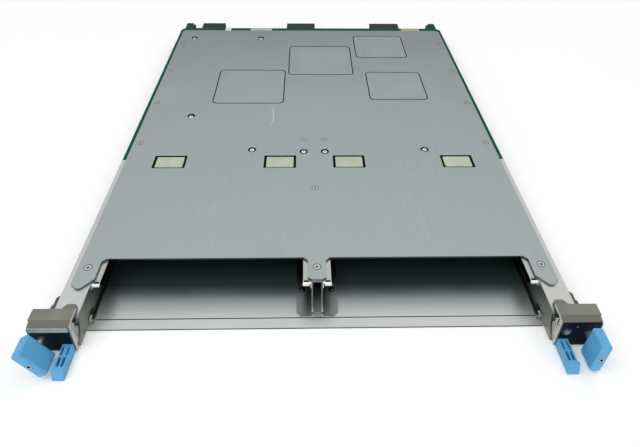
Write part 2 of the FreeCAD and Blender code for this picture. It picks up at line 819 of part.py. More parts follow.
def make_guide(web_x):
    """Bay guide opening towards +X: a small channel whose upper lip ends in a slot and a curled tip."""
    top = guide_height - edge_gap
    low = top - guide_slot_height - 2 * guide_sheet
    rear = -board_lead - guide_rear_gap
    tip_y = guide_front_y() + guide_tip_radius
    inner = web_x + guide_sheet
    lip_end = web_x + guide_lip
    section = [
        (web_x, low), (web_x, top), (lip_end, top), (lip_end, top - guide_sheet),
        (inner, top - guide_sheet), (inner, low + guide_sheet), (lip_end, low + guide_sheet),
        (lip_end, low),
    ]
    solid = profile_along_y(section, tip_y, rear)
    tip_from = web_x + guide_tip_inset
    tip_length = lip_end + guide_tip_overhang - tip_from
    tip = Part.makeCylinder(guide_tip_radius, tip_length, vec(tip_from, tip_y, top - guide_tip_radius),
                            vec(1, 0, 0))
    slot_y = tip_y + guide_tip_radius
    slot = box(web_x + guide_slot_start, lip_end - guide_slot_wall, slot_y, slot_y + guide_slot_length,
               top - guide_sheet, top)
    lead = box(web_x, lip_end, tip_y, tip_y + guide_lead, low, top - guide_sheet - guide_web_left)
    lug = box(web_x, inner, tip_y, tip_y + guide_lug_width, guide_lug_foot, top)
    return cut_all(solid.fuse(tip), [slot, lead]).fuse(lug).removeSplitter()


def make_divider_bracket():
    """Foot plate on the bay floor with a low upturned lip, left behind when the divider is out."""
    inner = spine_half_width
    outer = inner + foot_width
    rear = foot_front_y + foot_length
    outline = [
        (inner, foot_front_y), (outer - foot_chamfer, foot_front_y), (outer, foot_front_y + foot_chamfer),
        (outer, rear), (inner, rear),
    ]
    plate = sheet(outline, pan_sheet, foot_sheet)
    lip = box(inner - foot_sheet, inner, foot_front_y + foot_lip_setback, spine_front - edge_gap, pan_sheet,
              pan_sheet + foot_sheet + foot_lip_height)
    hole = post(foot_screw_x(), foot_screw_y, pan_sheet, pan_sheet + foot_sheet,
                screw_shank_radius + screw_gap)
    return plate.fuse(lip).removeSplitter().cut(hole)


def foot_screw_x():
    return spine_half_width + foot_width * foot_screw_share


def make_divider_screws():
    """Domed screws that hold the two divider brackets to the bay floor."""
    screws = []
    seat = pan_sheet + foot_sheet
    for side in (-1, 1):
        x = side * foot_screw_x()
        head = Part.makeCone(foot_screw_radius, foot_screw_taper * foot_screw_radius, foot_screw_height,
                             vec(x, foot_screw_y, seat), vec(0, 0, 1))
        shank = post(x, foot_screw_y, pan_sheet, seat, screw_shank_radius)
        screws.append(head.fuse(shank))
    return Part.makeCompound(screws)


# ---------------------------------------------------------------- ejector brackets
def make_inner_side_opening():
    """What the right bracket's inner side leaves open: all but a narrow hollowed flange at the face."""
    inner = bracket_inner
    head_z = bracket_height - bracket_sheet
    foot_z = bracket_lift + inner_flange_lift
    head_y = face_y + inner_flange_top
    foot_y = face_y + inner_flange_foot
    head = vec(inner, head_y, head_z)
    foot = vec(inner, foot_y, foot_z)
    middle = vec(inner, (head_y + foot_y) / 2 - inner_flange_bow, (head_z + foot_z) / 2)
    edge = Part.Arc(head, middle, foot).toShape()
    rest = Part.makePolygon([
        foot, vec(inner, face_y + bracket_sheet, foot_z), vec(inner, face_y + bracket_sheet, bracket_lift),
        vec(inner, bracket_rear, bracket_lift), vec(inner, bracket_rear, head_z), head])
    outline = Part.Wire(Part.__sortEdges__([edge] + rest.Edges))
    return Part.Face(outline).extrude(vec(bracket_sheet, 0, 0))


def make_tab():
    """Round ear of the bracket's top plate that steps down onto the rail."""
    top = bracket_height
    wall = bracket_sheet
    seat = guide_height
    x0 = bracket_inner + tab_inset
    strip = profile_along_x([
        (bracket_rear - tab_overlap, top), (bracket_rear + tab_step_start * tab_reach, top),
        (bracket_rear + tab_step_end * tab_reach, seat + wall), (bracket_rear + tab_reach, seat + wall),
        (bracket_rear + tab_reach, seat), (bracket_rear + tab_step_inner * tab_reach, seat),
        (bracket_rear, top - wall), (bracket_rear - tab_overlap, top - wall)], x0, x0 + tab_width)
    outline = rounded_plate(x0 + tab_width / 2, bracket_rear + (tab_reach - tab_overlap) / 2, tab_width,
                            tab_reach + tab_overlap, tab_round, seat, top - seat)
    return strip.common(outline)


def make_ejector_bracket():
    """Right bracket: folded box open below, with a sloped front strip, an open inner side and a tab."""
    inner = bracket_inner
    outer = bracket_outer
    wall = bracket_sheet
    top = bracket_height
    low = bracket_lift
    bend_y = face_y + bracket_bend_run
    front_top = top - bracket_bend_drop
    outside = profile_along_x([
        (face_y, low), (face_y, front_top), (bend_y, top), (bracket_rear, top), (bracket_rear, low)],
        inner, outer)
    inside = profile_along_x([
        (face_y + wall, low), (face_y + wall, front_top - wall), (bend_y, top - wall),
        (bracket_rear - wall, top - wall), (bracket_rear - wall, low)],
        inner + wall, outer - wall)
    open_rear = box(inner, outer - rear_wall_width, bracket_rear - wall, bracket_rear, low, top - wall)
    notch = box(outer - bracket_notch, outer, face_y, bend_y, front_top - bracket_notch_height, top)
    shell = cut_all(outside, [inside, open_rear, notch, make_inner_side_opening()])
    solid = shell.fuse(make_tab()).removeSplitter()
    bearing = rod(shaft_offset, shaft_height, face_y, bracket_rear, shaft_radius + bearing_gap)
    dimple = Part.makeCylinder(dimple_radius, wall, vec(inner, face_y + dimple_setback, top - dimple_drop),
                               vec(1, 0, 0))
    return cut_all(solid, [bearing, dimple])


def make_bracket_pair_cuts(side):
    """Openings in the right bracket only: push button and lamp."""
    if side < 0:
        return []
    back = face_y + bracket_sheet
    button = rod(button_x, button_height, label_face_y, back, button_radius + button_gap)
    lamp = rod(lamp_x, lamp_height, label_face_y, back, lamp_radius + screw_gap)
    return [button, lamp]


def make_label_plate():
    """Flat plate on the bracket's face, with the shaft's clearance hole and a corner for the handle."""
    low = bracket_lift + label_margin
    high = bracket_height - bracket_bend_drop - label_drop
    plate = box(bracket_inner + label_margin, bracket_outer - label_margin, label_face_y, face_y, low, high)
    hole = rod(shaft_offset, shaft_height, label_face_y, face_y, shaft_radius + label_hole_gap)
    corner = box(bracket_inner, handle_inner + handle_width + edge_gap, label_face_y, face_y, 0,
                 handle_lift + handle_height + edge_gap)
    return cut_all(plate, [hole, corner])


# ---------------------------------------------------------------- ejector knobs and shafts
def knob_back_y():
    return label_face_y - knob_gap


def knob_front_y():
    return knob_back_y() - knob_depth


def shaft_front_y():
    return knob_front_y() + knob_screw_head_height + knob_wall


def make_knob(lean):
    """Paddle knob of the right ejector, turned on its shaft by the lean angle."""
    x = shaft_offset
    half = knob_thickness / 2
    body = box(x - half, x + half, knob_front_y(), knob_back_y(), shaft_height - knob_length / 2,
               shaft_height + knob_length / 2)
    body = body.makeFillet(knob_round, body.Edges)
    bore = rod(x, shaft_height, shaft_front_y(), knob_back_y(), shaft_radius + thread_gap)
    seat = rod(x, shaft_height, knob_front_y(), knob_front_y() + knob_screw_head_height,
               knob_screw_head_radius + screw_gap)
    pilot = rod(x, shaft_height, knob_front_y(), shaft_front_y(), knob_screw_radius + screw_gap)
    body = cut_all(body, [bore, seat, pilot])
    body.rotate(vec(x, 0, shaft_height), vec(0, 1, 0), lean)
    return body


def ring_fronts():
    """Where the two retaining rings begin: one behind each wall of the bracket."""
    return (face_y + bracket_sheet + ring_gap, bracket_rear + ring_gap)


def make_shaft():
    """Ejector screw: journal in the bracket, collar behind it, tapered tip, tapped at the front."""
    x = shaft_offset
    front = shaft_front_y()
    tip_y = shaft_rear_y - shaft_tip
    collar_y = ring_fronts()[1] + ring_thickness + ring_gap
    journal = rod(x, shaft_height, front, tip_y, shaft_radius)
    collar = rod(x, shaft_height, collar_y, collar_y + collar_length, collar_radius)
    tip = Part.makeCone(shaft_radius, shaft_tip_share * shaft_radius, shaft_tip,
                        vec(x, tip_y, shaft_height), vec(0, 1, 0))
    tapped = rod(x, shaft_height, front, front + knob_screw_length, knob_screw_radius + thread_gap)
    return journal.multiFuse([collar, tip]).removeSplitter().cut(tapped)


def make_rings():
    """Retaining rings on the shaft."""
    rings = []
    for y in ring_fronts():
        ring = rod(shaft_offset, shaft_height, y, y + ring_thickness, ring_radius)
        rings.append(ring.cut(rod(shaft_offset, shaft_height, y, y + ring_thickness,
                                  shaft_radius + thread_gap)))
    return Part.makeCompound(rings)


def make_knob_screw():
    x = shaft_offset
    front = knob_front_y()
    head = rod(x, shaft_height, front, front + knob_screw_head_height, knob_screw_head_radius)
    shank = rod(x, shaft_height, front + knob_screw_head_height,
                shaft_front_y() + knob_screw_length - knob_screw_clear, knob_screw_radius)
    return head.fuse(shank)


# ---------------------------------------------------------------- pull handles
def make_handle():
    """Moulded pull handle: a bar with four pockets in its top, ribs between, and a thicker nose."""
    x0 = handle_inner
    x1 = handle_inner + handle_width
    low = handle_lift
    high = handle_lift + handle_height
    front = face_y - handle_length
    nose_back = front + handle_end
    bar = box(x0, x1, nose_back, face_y, low, high)
    nose = profile_along_x([
        (front - handle_toe, low), (front - handle_toe, low + handle_toe_height), (front, high),
        (nose_back, high), (nose_back, low)], x0, x1 + handle_nose)
    pocket_front = nose_back + handle_front_wall
    pocket_back = face_y - handle_root
    middle = (pocket_front + pocket_back) / 2
    spans = (
        (pocket_front, middle - handle_rib / 2, handle_front_rib),
        (middle + handle_rib / 2, pocket_back, handle_rear_rib),
    )
    centre = (x0 + x1) / 2
    floor_z = high - handle_pocket_depth
    pockets = []
    for y0, y1, rib in spans:
        pockets.append(box(x0 + handle_wall, centre - rib / 2, y0, y1, floor_z, high))
        pockets.append(box(centre + rib / 2, x1 - handle_wall, y0, y1, floor_z, high))
    return cut_all(bar.fuse(nose).removeSplitter(), pockets)


def make_handle_screws():
    """Screws through the bracket's face into the back of each handle."""
    screws = []
    back = face_y + bracket_sheet
    for side in (-1, 1):
        x = side * handle_screw_x
        head = rod(x, handle_screw_height, back, back + handle_screw_head_height, handle_screw_head_radius)
        shank = rod(x, handle_screw_height, face_y - handle_screw_depth, back, handle_screw_radius)
        screws.append(head.fuse(shank))
    return Part.makeCompound(screws)


def handle_screw_hole(extra):
    front = face_y - handle_screw_depth - screw_run
    return rod(handle_screw_x, handle_screw_height, front, face_y + bracket_sheet,
               handle_screw_radius + extra)


# ---------------------------------------------------------------- button and lamp
def make_button():
    """Round cap with a collar behind the bracket's face, so that it cannot fall out."""
    collar_y = face_y + bracket_sheet + edge_gap
    stem_y = collar_y + button_collar
    cap = rod(button_x, button_height, label_face_y - button_proud, collar_y, button_radius)
    collar = rod(button_x, button_height, collar_y, stem_y, button_radius + button_collar_lip)
    stem = rod(button_x, button_height, stem_y, stem_y + button_stem_length, button_stem_radius)
    return cap.multiFuse([collar, stem]).removeSplitter()


def make_switch():
    """Push switch behind the button, carried on the bracket's face beside it."""
    front = face_y + bracket_sheet + edge_gap + button_collar + button_stroke + edge_gap
    half = switch_width / 2
    body = box(button_x - half, button_x + half, front, front + switch_depth, button_height - half,
               button_height + half)
    well = rod(button_x, button_height, front, front + switch_well, button_stem_radius + button_gap)
    legs = []
    for x in (button_x - half, button_x + half - edge_gap):
        legs.append(box(x, x + edge_gap, face_y + bracket_sheet, front, button_height - half,
                        button_height + half))
    return body.multiFuse(legs).removeSplitter().cut(well)


def make_lamp():
    """Light pipe through the bracket's face, with a flange behind it."""
    back = face_y + bracket_sheet
    pipe = rod(lamp_x, lamp_height, label_face_y - lamp_proud, back, lamp_radius)
    flange = rod(lamp_x, lamp_height, back, back + lamp_flange_thickness, lamp_radius + lamp_flange)
    return pipe.fuse(flange).removeSplitter()


def make_rivets():
    """Rivets that join each rail's foot to the pan."""
    rivets = []
    seat = pan_sheet + rail_sheet
    x = web_outer + rail_foot * rivet_share
    for index in range(rivet_count):
        y = -rivet_start - index * rivet_pitch
        for side in (-1, 1):
            rivets.append(post(side * x, y, seat, seat + rivet_height, rivet_radius))
    return Part.makeCompound(rivets)


# ---------------------------------------------------------------- all parts
def all_parts():
    parts = {
        "top_cover": make_cover(),
        "circuit_board": make_board(),
        "cover_screws": make_cover_screws(),
        "board_screws": make_board_screws(),
        "plate_screws": make_plate_screws(),
        "press_in_nuts": make_nuts(),
        "window_pads": make_window_pads(),
        "base_pan": make_pan(),
        "centre_spine": make_spine(),
        "divider_bracket_screws": make_divider_screws(),
        "rivets": make_rivets(),
        "handle_screws": make_handle_screws(),
        "status_button": make_button(),
        "button_switch": make_switch(),
        "status_lamp": make_lamp(),
    }
    for name, cx, cy, side, all_four in backing_plates:
        parts["backing_plate_" + name] = make_backing_plate(cx, cy, side, all_four)
        parts["processor_" + name] = make_package(cx, cy)
        parts["heatsink_" + name] = make_heatsink(cx, cy, side, all_four)
    for index, (cx, cy) in enumerate(converter_centres):
        parts["power_converter_" + str(index + 1)] = make_converter(cx, cy)
    for name, cx, width in rear_connectors:
        parts["rear_connector_" + name] = make_rear_connector(cx, width)
    window_places = sorted(side * offset for offset in window_offsets for side in (-1, 1))
    for index, x in enumerate(window_places):
        parts["module_connector_" + str(index + 1)] = make_module_connector(x)
    outer_guide = mirrored(make_guide(-web_inner))
    inner_guide = make_guide(spine_half_width)
    leans = {1: knob_lean_right, -1: knob_lean_left}
    for side, word in ((-1, "left"), (1, "right")):
        parts[word + "_rail"] = on_side(make_rail(), side)
        parts[word + "_outer_bay_guide"] = on_side(outer_guide, side)
        parts[word + "_inner_bay_guide"] = on_side(inner_guide, side)
        parts[word + "_divider_bracket"] = on_side(make_divider_bracket(), side)
        parts[word + "_guide_module"] = on_side(make_guide_module(), side)
        openings = make_bracket_pair_cuts(side)
        bracket = cut_all(make_ejector_bracket(), openings + [handle_screw_hole(screw_gap)])
        label = make_label_plate()
        if openings:
            label = cut_all(label, openings)
        parts[word + "_ejector_bracket"] = on_side(bracket, side)
        parts[word + "_label_plate"] = on_side(label, side)
        parts[word + "_knob"] = on_side(make_knob(leans[side]), side)
        parts[word + "_ejector_shaft"] = on_side(make_shaft(), side)
        parts[word + "_retaining_rings"] = on_side(make_rings(), side)
        parts[word + "_knob_screw"] = on_side(make_knob_screw(), side)
        parts[word + "_pull_handle"] = on_side(make_handle().cut(handle_screw_hole(thread_gap)), side)
    return parts


os.makedirs("parts", exist_ok=True)
for node, shape in all_parts().items():
    shape.exportStep(os.path.join("parts", node + ".step"))
    print(node, len(shape.Solids), round(shape.Volume, 1), shape.isValid())
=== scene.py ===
# %% [markdown]
# # A line card with two open module bays
# The CAD model brings every solid piece at its real size. This script gives the pieces their
# finishes, swaps the plain fasteners for screws with real recesses, and adds the thin trim that
# is too small for CAD. All lengths are in metres, and places are read from the model itself.

# %% Load the fixed frame
import json
import math
import random
import bmesh
import bpy
from mathutils import Euler, Matrix, Vector


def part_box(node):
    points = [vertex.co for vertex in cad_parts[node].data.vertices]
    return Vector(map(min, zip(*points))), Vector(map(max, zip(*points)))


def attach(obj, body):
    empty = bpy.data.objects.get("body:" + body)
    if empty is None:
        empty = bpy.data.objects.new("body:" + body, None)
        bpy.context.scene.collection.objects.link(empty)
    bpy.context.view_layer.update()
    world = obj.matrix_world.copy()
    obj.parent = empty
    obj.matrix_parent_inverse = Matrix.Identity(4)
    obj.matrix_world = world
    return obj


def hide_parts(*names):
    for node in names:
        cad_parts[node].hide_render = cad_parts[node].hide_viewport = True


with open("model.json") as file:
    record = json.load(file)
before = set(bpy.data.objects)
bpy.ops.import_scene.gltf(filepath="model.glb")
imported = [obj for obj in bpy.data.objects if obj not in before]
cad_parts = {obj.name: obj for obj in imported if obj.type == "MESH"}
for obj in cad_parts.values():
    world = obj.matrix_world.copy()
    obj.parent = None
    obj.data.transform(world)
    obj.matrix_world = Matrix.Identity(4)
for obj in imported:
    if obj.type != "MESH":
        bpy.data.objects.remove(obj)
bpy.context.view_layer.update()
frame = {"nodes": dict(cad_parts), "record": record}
MM = 0.001
scene = bpy.context.scene

# %% [markdown]
# ## Camera
# The card lies on a table and is seen from in front, a little above. The camera could be tilted
# until the card is in the middle of its view. Here the lens is shifted downwards instead, so the
# camera looks less steeply than the middle of the view does.

# %% Set up the camera
PITCH = math.radians(33.70)
YAW = math.radians(-1.766)
ROLL = math.radians(0.902)
CAMERA_PLACE = (-0.00917, -0.46984, 0.3757)
camera_data = bpy.data.cameras.new("camera")
camera_data.sensor_width = 36.0
camera_data.lens = 31.36
camera_data.shift_y = -0.1461
camera_data.clip_start = 0.02
camera = bpy.data.objects.new("camera", camera_data)
scene.collection.objects.link(camera)
aim = Euler((math.pi / 2 - PITCH, 0, YAW)).to_matrix() @ Matrix.Rotation(ROLL, 3, "Z")
camera.matrix_world = Matrix.Translation(CAMERA_PLACE) @ aim.to_4x4()
scene.camera = camera
scene.view_settings.view_transform = "Standard"
print("camera at", tuple(round(v, 3) for v in camera.location))

# %% [markdown]
# ## Nodes in few words
# Materials, the world and Geometry Nodes are all trees of nodes. Each node could be made and
# linked line by line. One function that adds a node, picks its settings and fills its inputs
# keeps the later steps short, and it works in all three kinds of tree.


# %% Add, calculate and spread
def put(tree, socket, value):
    """Fill a socket: with a link if the value is a node's output, else with a constant."""
    if isinstance(value, bpy.types.NodeSocket):
        tree.links.new(value, socket)
    else:
        socket.default_value = (*value, 1) if socket.type == "RGBA" else value


def add(tree, kind, inputs, output=0, **settings):
    """Add a node and give one of its outputs. Sockets go by name or by number."""
    node = tree.nodes.new(kind)
    for setting, choice in settings.items():
        setattr(node, setting, choice)
    for socket, value in inputs.items():
        put(tree, node.inputs[socket], value)
    return node.outputs[output]


def calculated(tree, how, first, second=0.0):
    """One step of arithmetic."""
    return add(tree, "ShaderNodeMath", {0: first, 1: second}, operation=how)


def spread(tree, value, low, high, first=0.0, last=1.0):
    """Turn the range low to high into first to last; beyond it the ends hold."""
    ends = {"From Min": low, "From Max": high, "To Min": first, "To Max": last}
    return add(tree, "ShaderNodeMapRange", {"Value": value, **ends})


print("node helpers ready")

# %% [markdown]
# ## Small helpers for finishes
# Each finish is one Principled shader. What is the same all over is set on its own sockets.
# What varies, such as mottling, brushing and grain, comes from noise on Object coordinates,
# because those stay with the piece when it moves.


# %% A finish and its noise
def finish(name, sockets):
    """A new material with constants on the shader's own sockets."""
    material = bpy.data.materials.new(name)
    material.use_nodes = True
    shader = material.node_tree.nodes["Principled BSDF"]
    for label, value in sockets.items():
        put(material.node_tree, shader.inputs[label], value)
    return material


def coordinate(tree, kind="Object", axis=None):
    """The place on the piece, or another kind of coordinate; with an axis, only that part."""
    whole = add(tree, "ShaderNodeTexCoord", {}, kind)
    return add(tree, "ShaderNodeSeparateXYZ", {"Vector": whole}, axis) if axis else whole


def noise(material, scale, stretch=(1, 1, 1), detail=3.0, distortion=0.0):
    """Noise on Object coordinates. A low stretch along an axis draws the grain out along it."""
    tree = material.node_tree
    place = add(tree, "ShaderNodeMapping", {"Vector": coordinate(tree), "Scale": stretch})
    sizes = {"Scale": scale, "Detail": detail, "Distortion": distortion}
    return add(tree, "ShaderNodeTexNoise", {"Vector": place, **sizes}, "Fac")


print("finishes start from", bpy.types.ShaderNodeBsdfPrincipled.bl_rna.name)

# %% [markdown]
# ## Colours that vary
# A colour ramp turns a noise into two tones, and a mix lays one colour over another where a mask
# is 1. A noise seldom leaves the range 0.3 to 0.7, so the two tones stand at those values.


# %% Ramps, mixes and relief
NOISE_LOW = 0.3
NOISE_HIGH = 0.7


def ramp(material, factor, stops):
    """Colours by factor: stops are (place, colour), in order."""
    output = add(material.node_tree, "ShaderNodeValToRGB", {"Fac": factor}, "Color")
    elements = output.node.color_ramp.elements
    while len(elements) < len(stops):
        elements.new(0.5)
    for element, (place, colour) in zip(elements, stops):
        element.position = place
        element.color = (*colour, 1)
    return output


def tones(material, factor, dark, light, low=NOISE_LOW, high=NOISE_HIGH):
    return ramp(material, factor, [(low, dark), (high, light)])


def mixed(material, mask, first, second):
    """The first colour where the mask is 0, the second where it is 1."""
    output = add(material.node_tree, "ShaderNodeMix", {"Factor": mask}, 2, data_type="RGBA")
    for socket, colour in zip([s for s in output.node.inputs if s.type == "RGBA"], (first, second)):
        put(material.node_tree, socket, colour)
    return output


def wire(material, output, label):
    shader = material.node_tree.nodes["Principled BSDF"]
    material.node_tree.links.new(output, shader.inputs[label])


def rough_between(material, factor, low, high):
    """Roughness that follows a noise."""
    wire(material, spread(material.node_tree, factor, NOISE_LOW, NOISE_HIGH, low, high), "Roughness")


def bump(material, factor, strength, depth):
    """Fine relief in the shading that follows a noise; depth is in millimetres."""
    sizes = {"Strength": strength, "Distance": depth * MM}
    wire(material, add(material.node_tree, "ShaderNodeBump", {"Height": factor, **sizes}), "Normal")


print("a noise is read from", NOISE_LOW, "to", NOISE_HIGH)

# %% [markdown]
# ## Masks
# A mask is a number from 0 to 1 that says where a tint goes. It could be painted on a map of the
# piece. Here it is worked out from the place on the piece, so it needs no map and stays sharp.
# A tint takes limits, such as ("Y", 5 * MM, 3 * MM): 0 from 5 mm on along Y, and 1 up to 3 mm.


# %% Masks by place, and tints
def along(material, axis, low, high, top=1.0):
    """0 to top along an object axis, between two places on it."""
    tree = material.node_tree
    return spread(tree, coordinate(tree, "Object", axis), low, high, 0.0, top)


def facing_up(material, low=0.35, high=0.55):
    """1 on faces that look up or down, 0 on upright ones; the other way round if low > high."""
    tree = material.node_tree
    return spread(tree, calculated(tree, "ABSOLUTE", coordinate(tree, "Normal", "Z")), low, high)


def arc_mask(material, centre, radius, half_width):
    """1 along a circle round an upright axis, fading to 0 at half_width from it."""
    tree = material.node_tree
    flat = add(tree, "ShaderNodeMapping", {
        "Vector": coordinate(tree), "Location": (-centre[0], -centre[1], 0), "Scale": (1, 1, 0)})
    reach = add(tree, "ShaderNodeVectorMath", {0: flat}, "Value", operation="LENGTH")
    off = calculated(tree, "ABSOLUTE", calculated(tree, "SUBTRACT", reach, radius))
    return spread(tree, off, half_width, 0.0)


def tint(material, colour, *limits, mask=None, top=1.0):
    """Mix a colour over the base colour where the mask and all the limits are 1."""
    for axis, clear, full in limits:
        limit = along(material, axis, clear, full, top)
        mask = limit if mask is None else calculated(material.node_tree, "MULTIPLY", mask, limit)
    shader = material.node_tree.nodes["Principled BSDF"]
    before = shader.inputs["Base Color"].links[0].from_socket
    wire(material, mixed(material, mask, before, colour), "Base Color")


print("mask helpers ready")

# %% [markdown]
# ## Sheet metal
# The cover and its plates are zinc-plated steel: a cool grey with faint clouds from the plating bath, a fine
# grain from the rolling mill and a few scuffs. One function makes them all, so that the cover, the plates,
# the rails, the pan, the spine, the guides and the heatsinks differ mostly in tone, grain direction and the
# painted shade that some of them carry.


# %% One function for every sheet
BLACK = (0, 0, 0)
WHITE = (1, 1, 1)
SCUFF_TONE = (0.12, 0.12, 0.12)
CLOUD_LOW = 0.32
CLOUD_HIGH = 0.68


def shade(colour, share):
    """The same hue, darker or lighter."""
    return tuple(min(1.0, share * part) for part in colour)


def sheet_metal(name, dark, light, grain, roughness, clouds=14.0, below=None, edge=None, metallic=1.0):
    """Clouded sheet metal: two tones, grain drawn out along one axis, and scuffs.

    below=(height, (dark, light)) gives other tones under that height: painted shade on the sides of a folded
    sheet, while its top keeps the brighter tones. edge is a tone of painted shade on the upright faces, which
    are the sheet's edges and the walls of its holes.
    """
    material = finish(name, {"Metallic": metallic})
    cloud = noise(material, clouds, detail=5.0, distortion=0.4)
    fine = noise(material, 700.0, grain, detail=2.0)
    scuff = noise(material, 55.0, (1.0, 0.06, 1.0), detail=6.0, distortion=1.2)
    colour = tones(material, cloud, dark, light, CLOUD_LOW, CLOUD_HIGH)
    grained = tones(material, fine, BLACK, WHITE, 0.35, 0.65)
    colour = mixed(material, grained, colour, shade(light, 0.93))
    worn = tones(material, scuff, BLACK, SCUFF_TONE, 0.715, 0.745)
    colour = mixed(material, worn, colour, shade(light, 1.25))
    # Painted shade on the sheet's sides under the given height.
    if below is not None:
        height, (side_dark, side_light) = below
        sides = tones(material, cloud, side_dark, side_light, CLOUD_LOW, CLOUD_HIGH)
        colour = mixed(material, along(material, "Z", height, height + 0.2 * MM), sides, colour)
    # Painted shade on the upright faces.
    if edge is not None:
        colour = mixed(material, facing_up(material), edge, colour)
    wire(material, colour, "Base Color")
    rough_between(material, cloud, *roughness)
    bump(material, fine, 0.06, 0.04)
    return material


print("clouds are read from", CLOUD_LOW, "to", CLOUD_HIGH)

# %% [markdown]
# ## Cover and backing plates
# The cover is painted darker towards the rear, a painted reflection of a darker part of the room. One long
# curved scratch lies on its left half: a mask along a circle, cut to a short arc by its limits.

# %% Cover and plates
SCRATCH_CENTRE = (-120.2 * MM, 83.35 * MM)
SCRATCH_RADIUS = 73.45 * MM
SCRATCH_HALF_WIDTH = 0.9 * MM
# The cover's edge tone is painted shade on its upright faces.
zinc = sheet_metal("zinc_sheet", (0.368, 0.425, 0.433), (0.432, 0.490, 0.498), (1.0, 0.12, 1.0),
                   (0.32, 0.42), edge=(0.16, 0.18, 0.18))
# Painted reflection: the cover is darker towards the rear.
tint(zinc, (0.285, 0.335, 0.345), ("Y", 150 * MM, 340 * MM), top=0.75)
tint(zinc, (0.66, 0.71, 0.71), ("Y", 61 * MM, 70 * MM), ("Y", 111 * MM, 96 * MM),
     ("X", SCRATCH_CENTRE[0], SCRATCH_CENTRE[0] + 1 * MM),
     mask=arc_mask(zinc, SCRATCH_CENTRE, SCRATCH_RADIUS, SCRATCH_HALF_WIDTH))
# The plates' edge tone is nearly black painted shade, for the gaps round them.
zinc_plate = sheet_metal("zinc_plate", (0.365, 0.425, 0.432), (0.435, 0.494, 0.500), (0.12, 1.0, 1.0),
                         (0.30, 0.40), clouds=22.0, edge=(0.06, 0.065, 0.065))
print("scratch radius", round(SCRATCH_RADIUS / MM, 1), "mm")

# %% [markdown]
# ## Rails and pan
# These are folded sheets. A rail's web is painted darker than its top, as painted shade. The pan is bright in
# front, with painted shade deep in the bays and nearly black painted shade beside the rails. A dark line of
# painted shade along the middle of its cut edge makes the edge look folded. Real shadow alone would be too
# faint here, because the soft light reaches in from all sides.

# %% Rails and pan
RAIL_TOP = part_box("left_rail")[1].z
RAIL_WEB = 181.2 * MM
PAN_SHEET = 1.2 * MM
# Painted shade: the rail's web takes these darker tones.
rail_web_shade = ((0.250, 0.260, 0.228), (0.370, 0.385, 0.340))
rail_sheet = sheet_metal("rail_sheet", (0.56, 0.58, 0.56), (0.66, 0.68, 0.66), (1.0, 0.05, 1.0),
                         (0.36, 0.46), below=(RAIL_TOP - 1.2 * MM, rail_web_shade))
under_top = ("Z", RAIL_TOP - 1.0 * MM, RAIL_TOP - 1.2 * MM)
# The pan's edge tone is painted shade on its upright faces.
pan_sheet = sheet_metal("pan_sheet", (0.51, 0.54, 0.54), (0.61, 0.64, 0.64), (0.04, 1.0, 1.0),
                        (0.28, 0.36), edge=(0.10, 0.105, 0.10), metallic=0.75)
# Painted shade: a dark line along the middle of the pan's cut edge.
tint(pan_sheet, (0.05, 0.055, 0.055), ("Z", PAN_SHEET - 0.1 * MM, PAN_SHEET - 0.2 * MM),
     ("Z", 0.1 * MM, 0.2 * MM))
# Painted shade: the pan darkens deep in the bays, under the cover.
tint(pan_sheet, (0.07, 0.115, 0.12), ("Y", -181 * MM, -146 * MM))
# Painted shade: a flat dark grey on the web's outward face under the rail's top, and nearly black strips of
# the pan beside the rails.
for side in (-1, 1):
    tint(rail_sheet, (0.24, 0.25, 0.24), under_top, ("X", side * RAIL_WEB, side * (RAIL_WEB + 0.4 * MM)))
    tint(pan_sheet, (0.020, 0.022, 0.020), ("X", side * 176.8 * MM, side * 178.6 * MM),
         ("Y", -186 * MM, -178 * MM))
print("rail top at", round(RAIL_TOP / MM, 1), "mm")

# %% [markdown]
# ## Spine and guides
# The spine between the bays is painted bright on its top and on the sides of its foot, a painted highlight.
# The guides are painted bright at their front, a painted highlight on their curled tips, and painted dark
# below their lip, painted shade that makes their slots read black. Such steps could be separate materials on
# separate faces. A tint by place keeps one material per sheet.

# %% Spine and guides
FOOT_TOP = 2.4 * MM
spine_sheet = sheet_metal("spine_sheet", (0.20, 0.222, 0.225), (0.27, 0.292, 0.295), (1.0, 0.1, 1.0),
                          (0.30, 0.40))
# Painted highlight on the spine's top faces.
tint(spine_sheet, (0.90, 0.92, 0.92), ("Z", FOOT_TOP + 0.1 * MM, FOOT_TOP + 0.2 * MM),
     mask=facing_up(spine_sheet))
# Painted highlight on the upright sides of the spine's foot.
tint(spine_sheet, (0.85, 0.87, 0.87), ("Z", FOOT_TOP + 0.1 * MM, FOOT_TOP),
     mask=facing_up(spine_sheet, 0.55, 0.35))
guide_low, guide_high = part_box("left_outer_bay_guide")
guide_sheet = sheet_metal("guide_sheet", (0.44, 0.455, 0.40), (0.54, 0.555, 0.50), (1.0, 0.06, 1.0),
                          (0.26, 0.36))
lip_foot = guide_high.z - 1.2 * MM
# Painted shade below the guide's lip.
tint(guide_sheet, (0.030, 0.030, 0.028), ("Z", lip_foot + 0.2 * MM, lip_foot))
# Painted highlight on the guide's front tip.
tint(guide_sheet, (0.95, 0.96, 0.95), ("Y", guide_low.y + 3.2 * MM, guide_low.y + 2.6 * MM))
print("guide lip's foot at", round(lip_foot / MM, 1), "mm")

# %% [markdown]
# ## Coats and plastics
# The ejector brackets carry a warm grey satin coat. The knobs and handles are moulded in sky blue with a
# faint spark-eroded grain. Both are two close tones and a grain with a little relief, so one function makes
# them, and the foam, the stickers and the black of the chips and of the painted shade too.


# %% Moulded finishes
SHINE = "Specular IOR Level"


def moulded(name, dark, light, roughness, grain_scale, depth, sockets=None):
    """Slight tone variation and a fine grain; depth is in millimetres."""
    material = finish(name, sockets or {})
    grain = noise(material, grain_scale, detail=2.0)
    wire(material, tones(material, noise(material, 60.0), dark, light), "Base Color")
    rough_between(material, grain, *roughness)
    bump(material, grain, 0.25, depth)
    return material


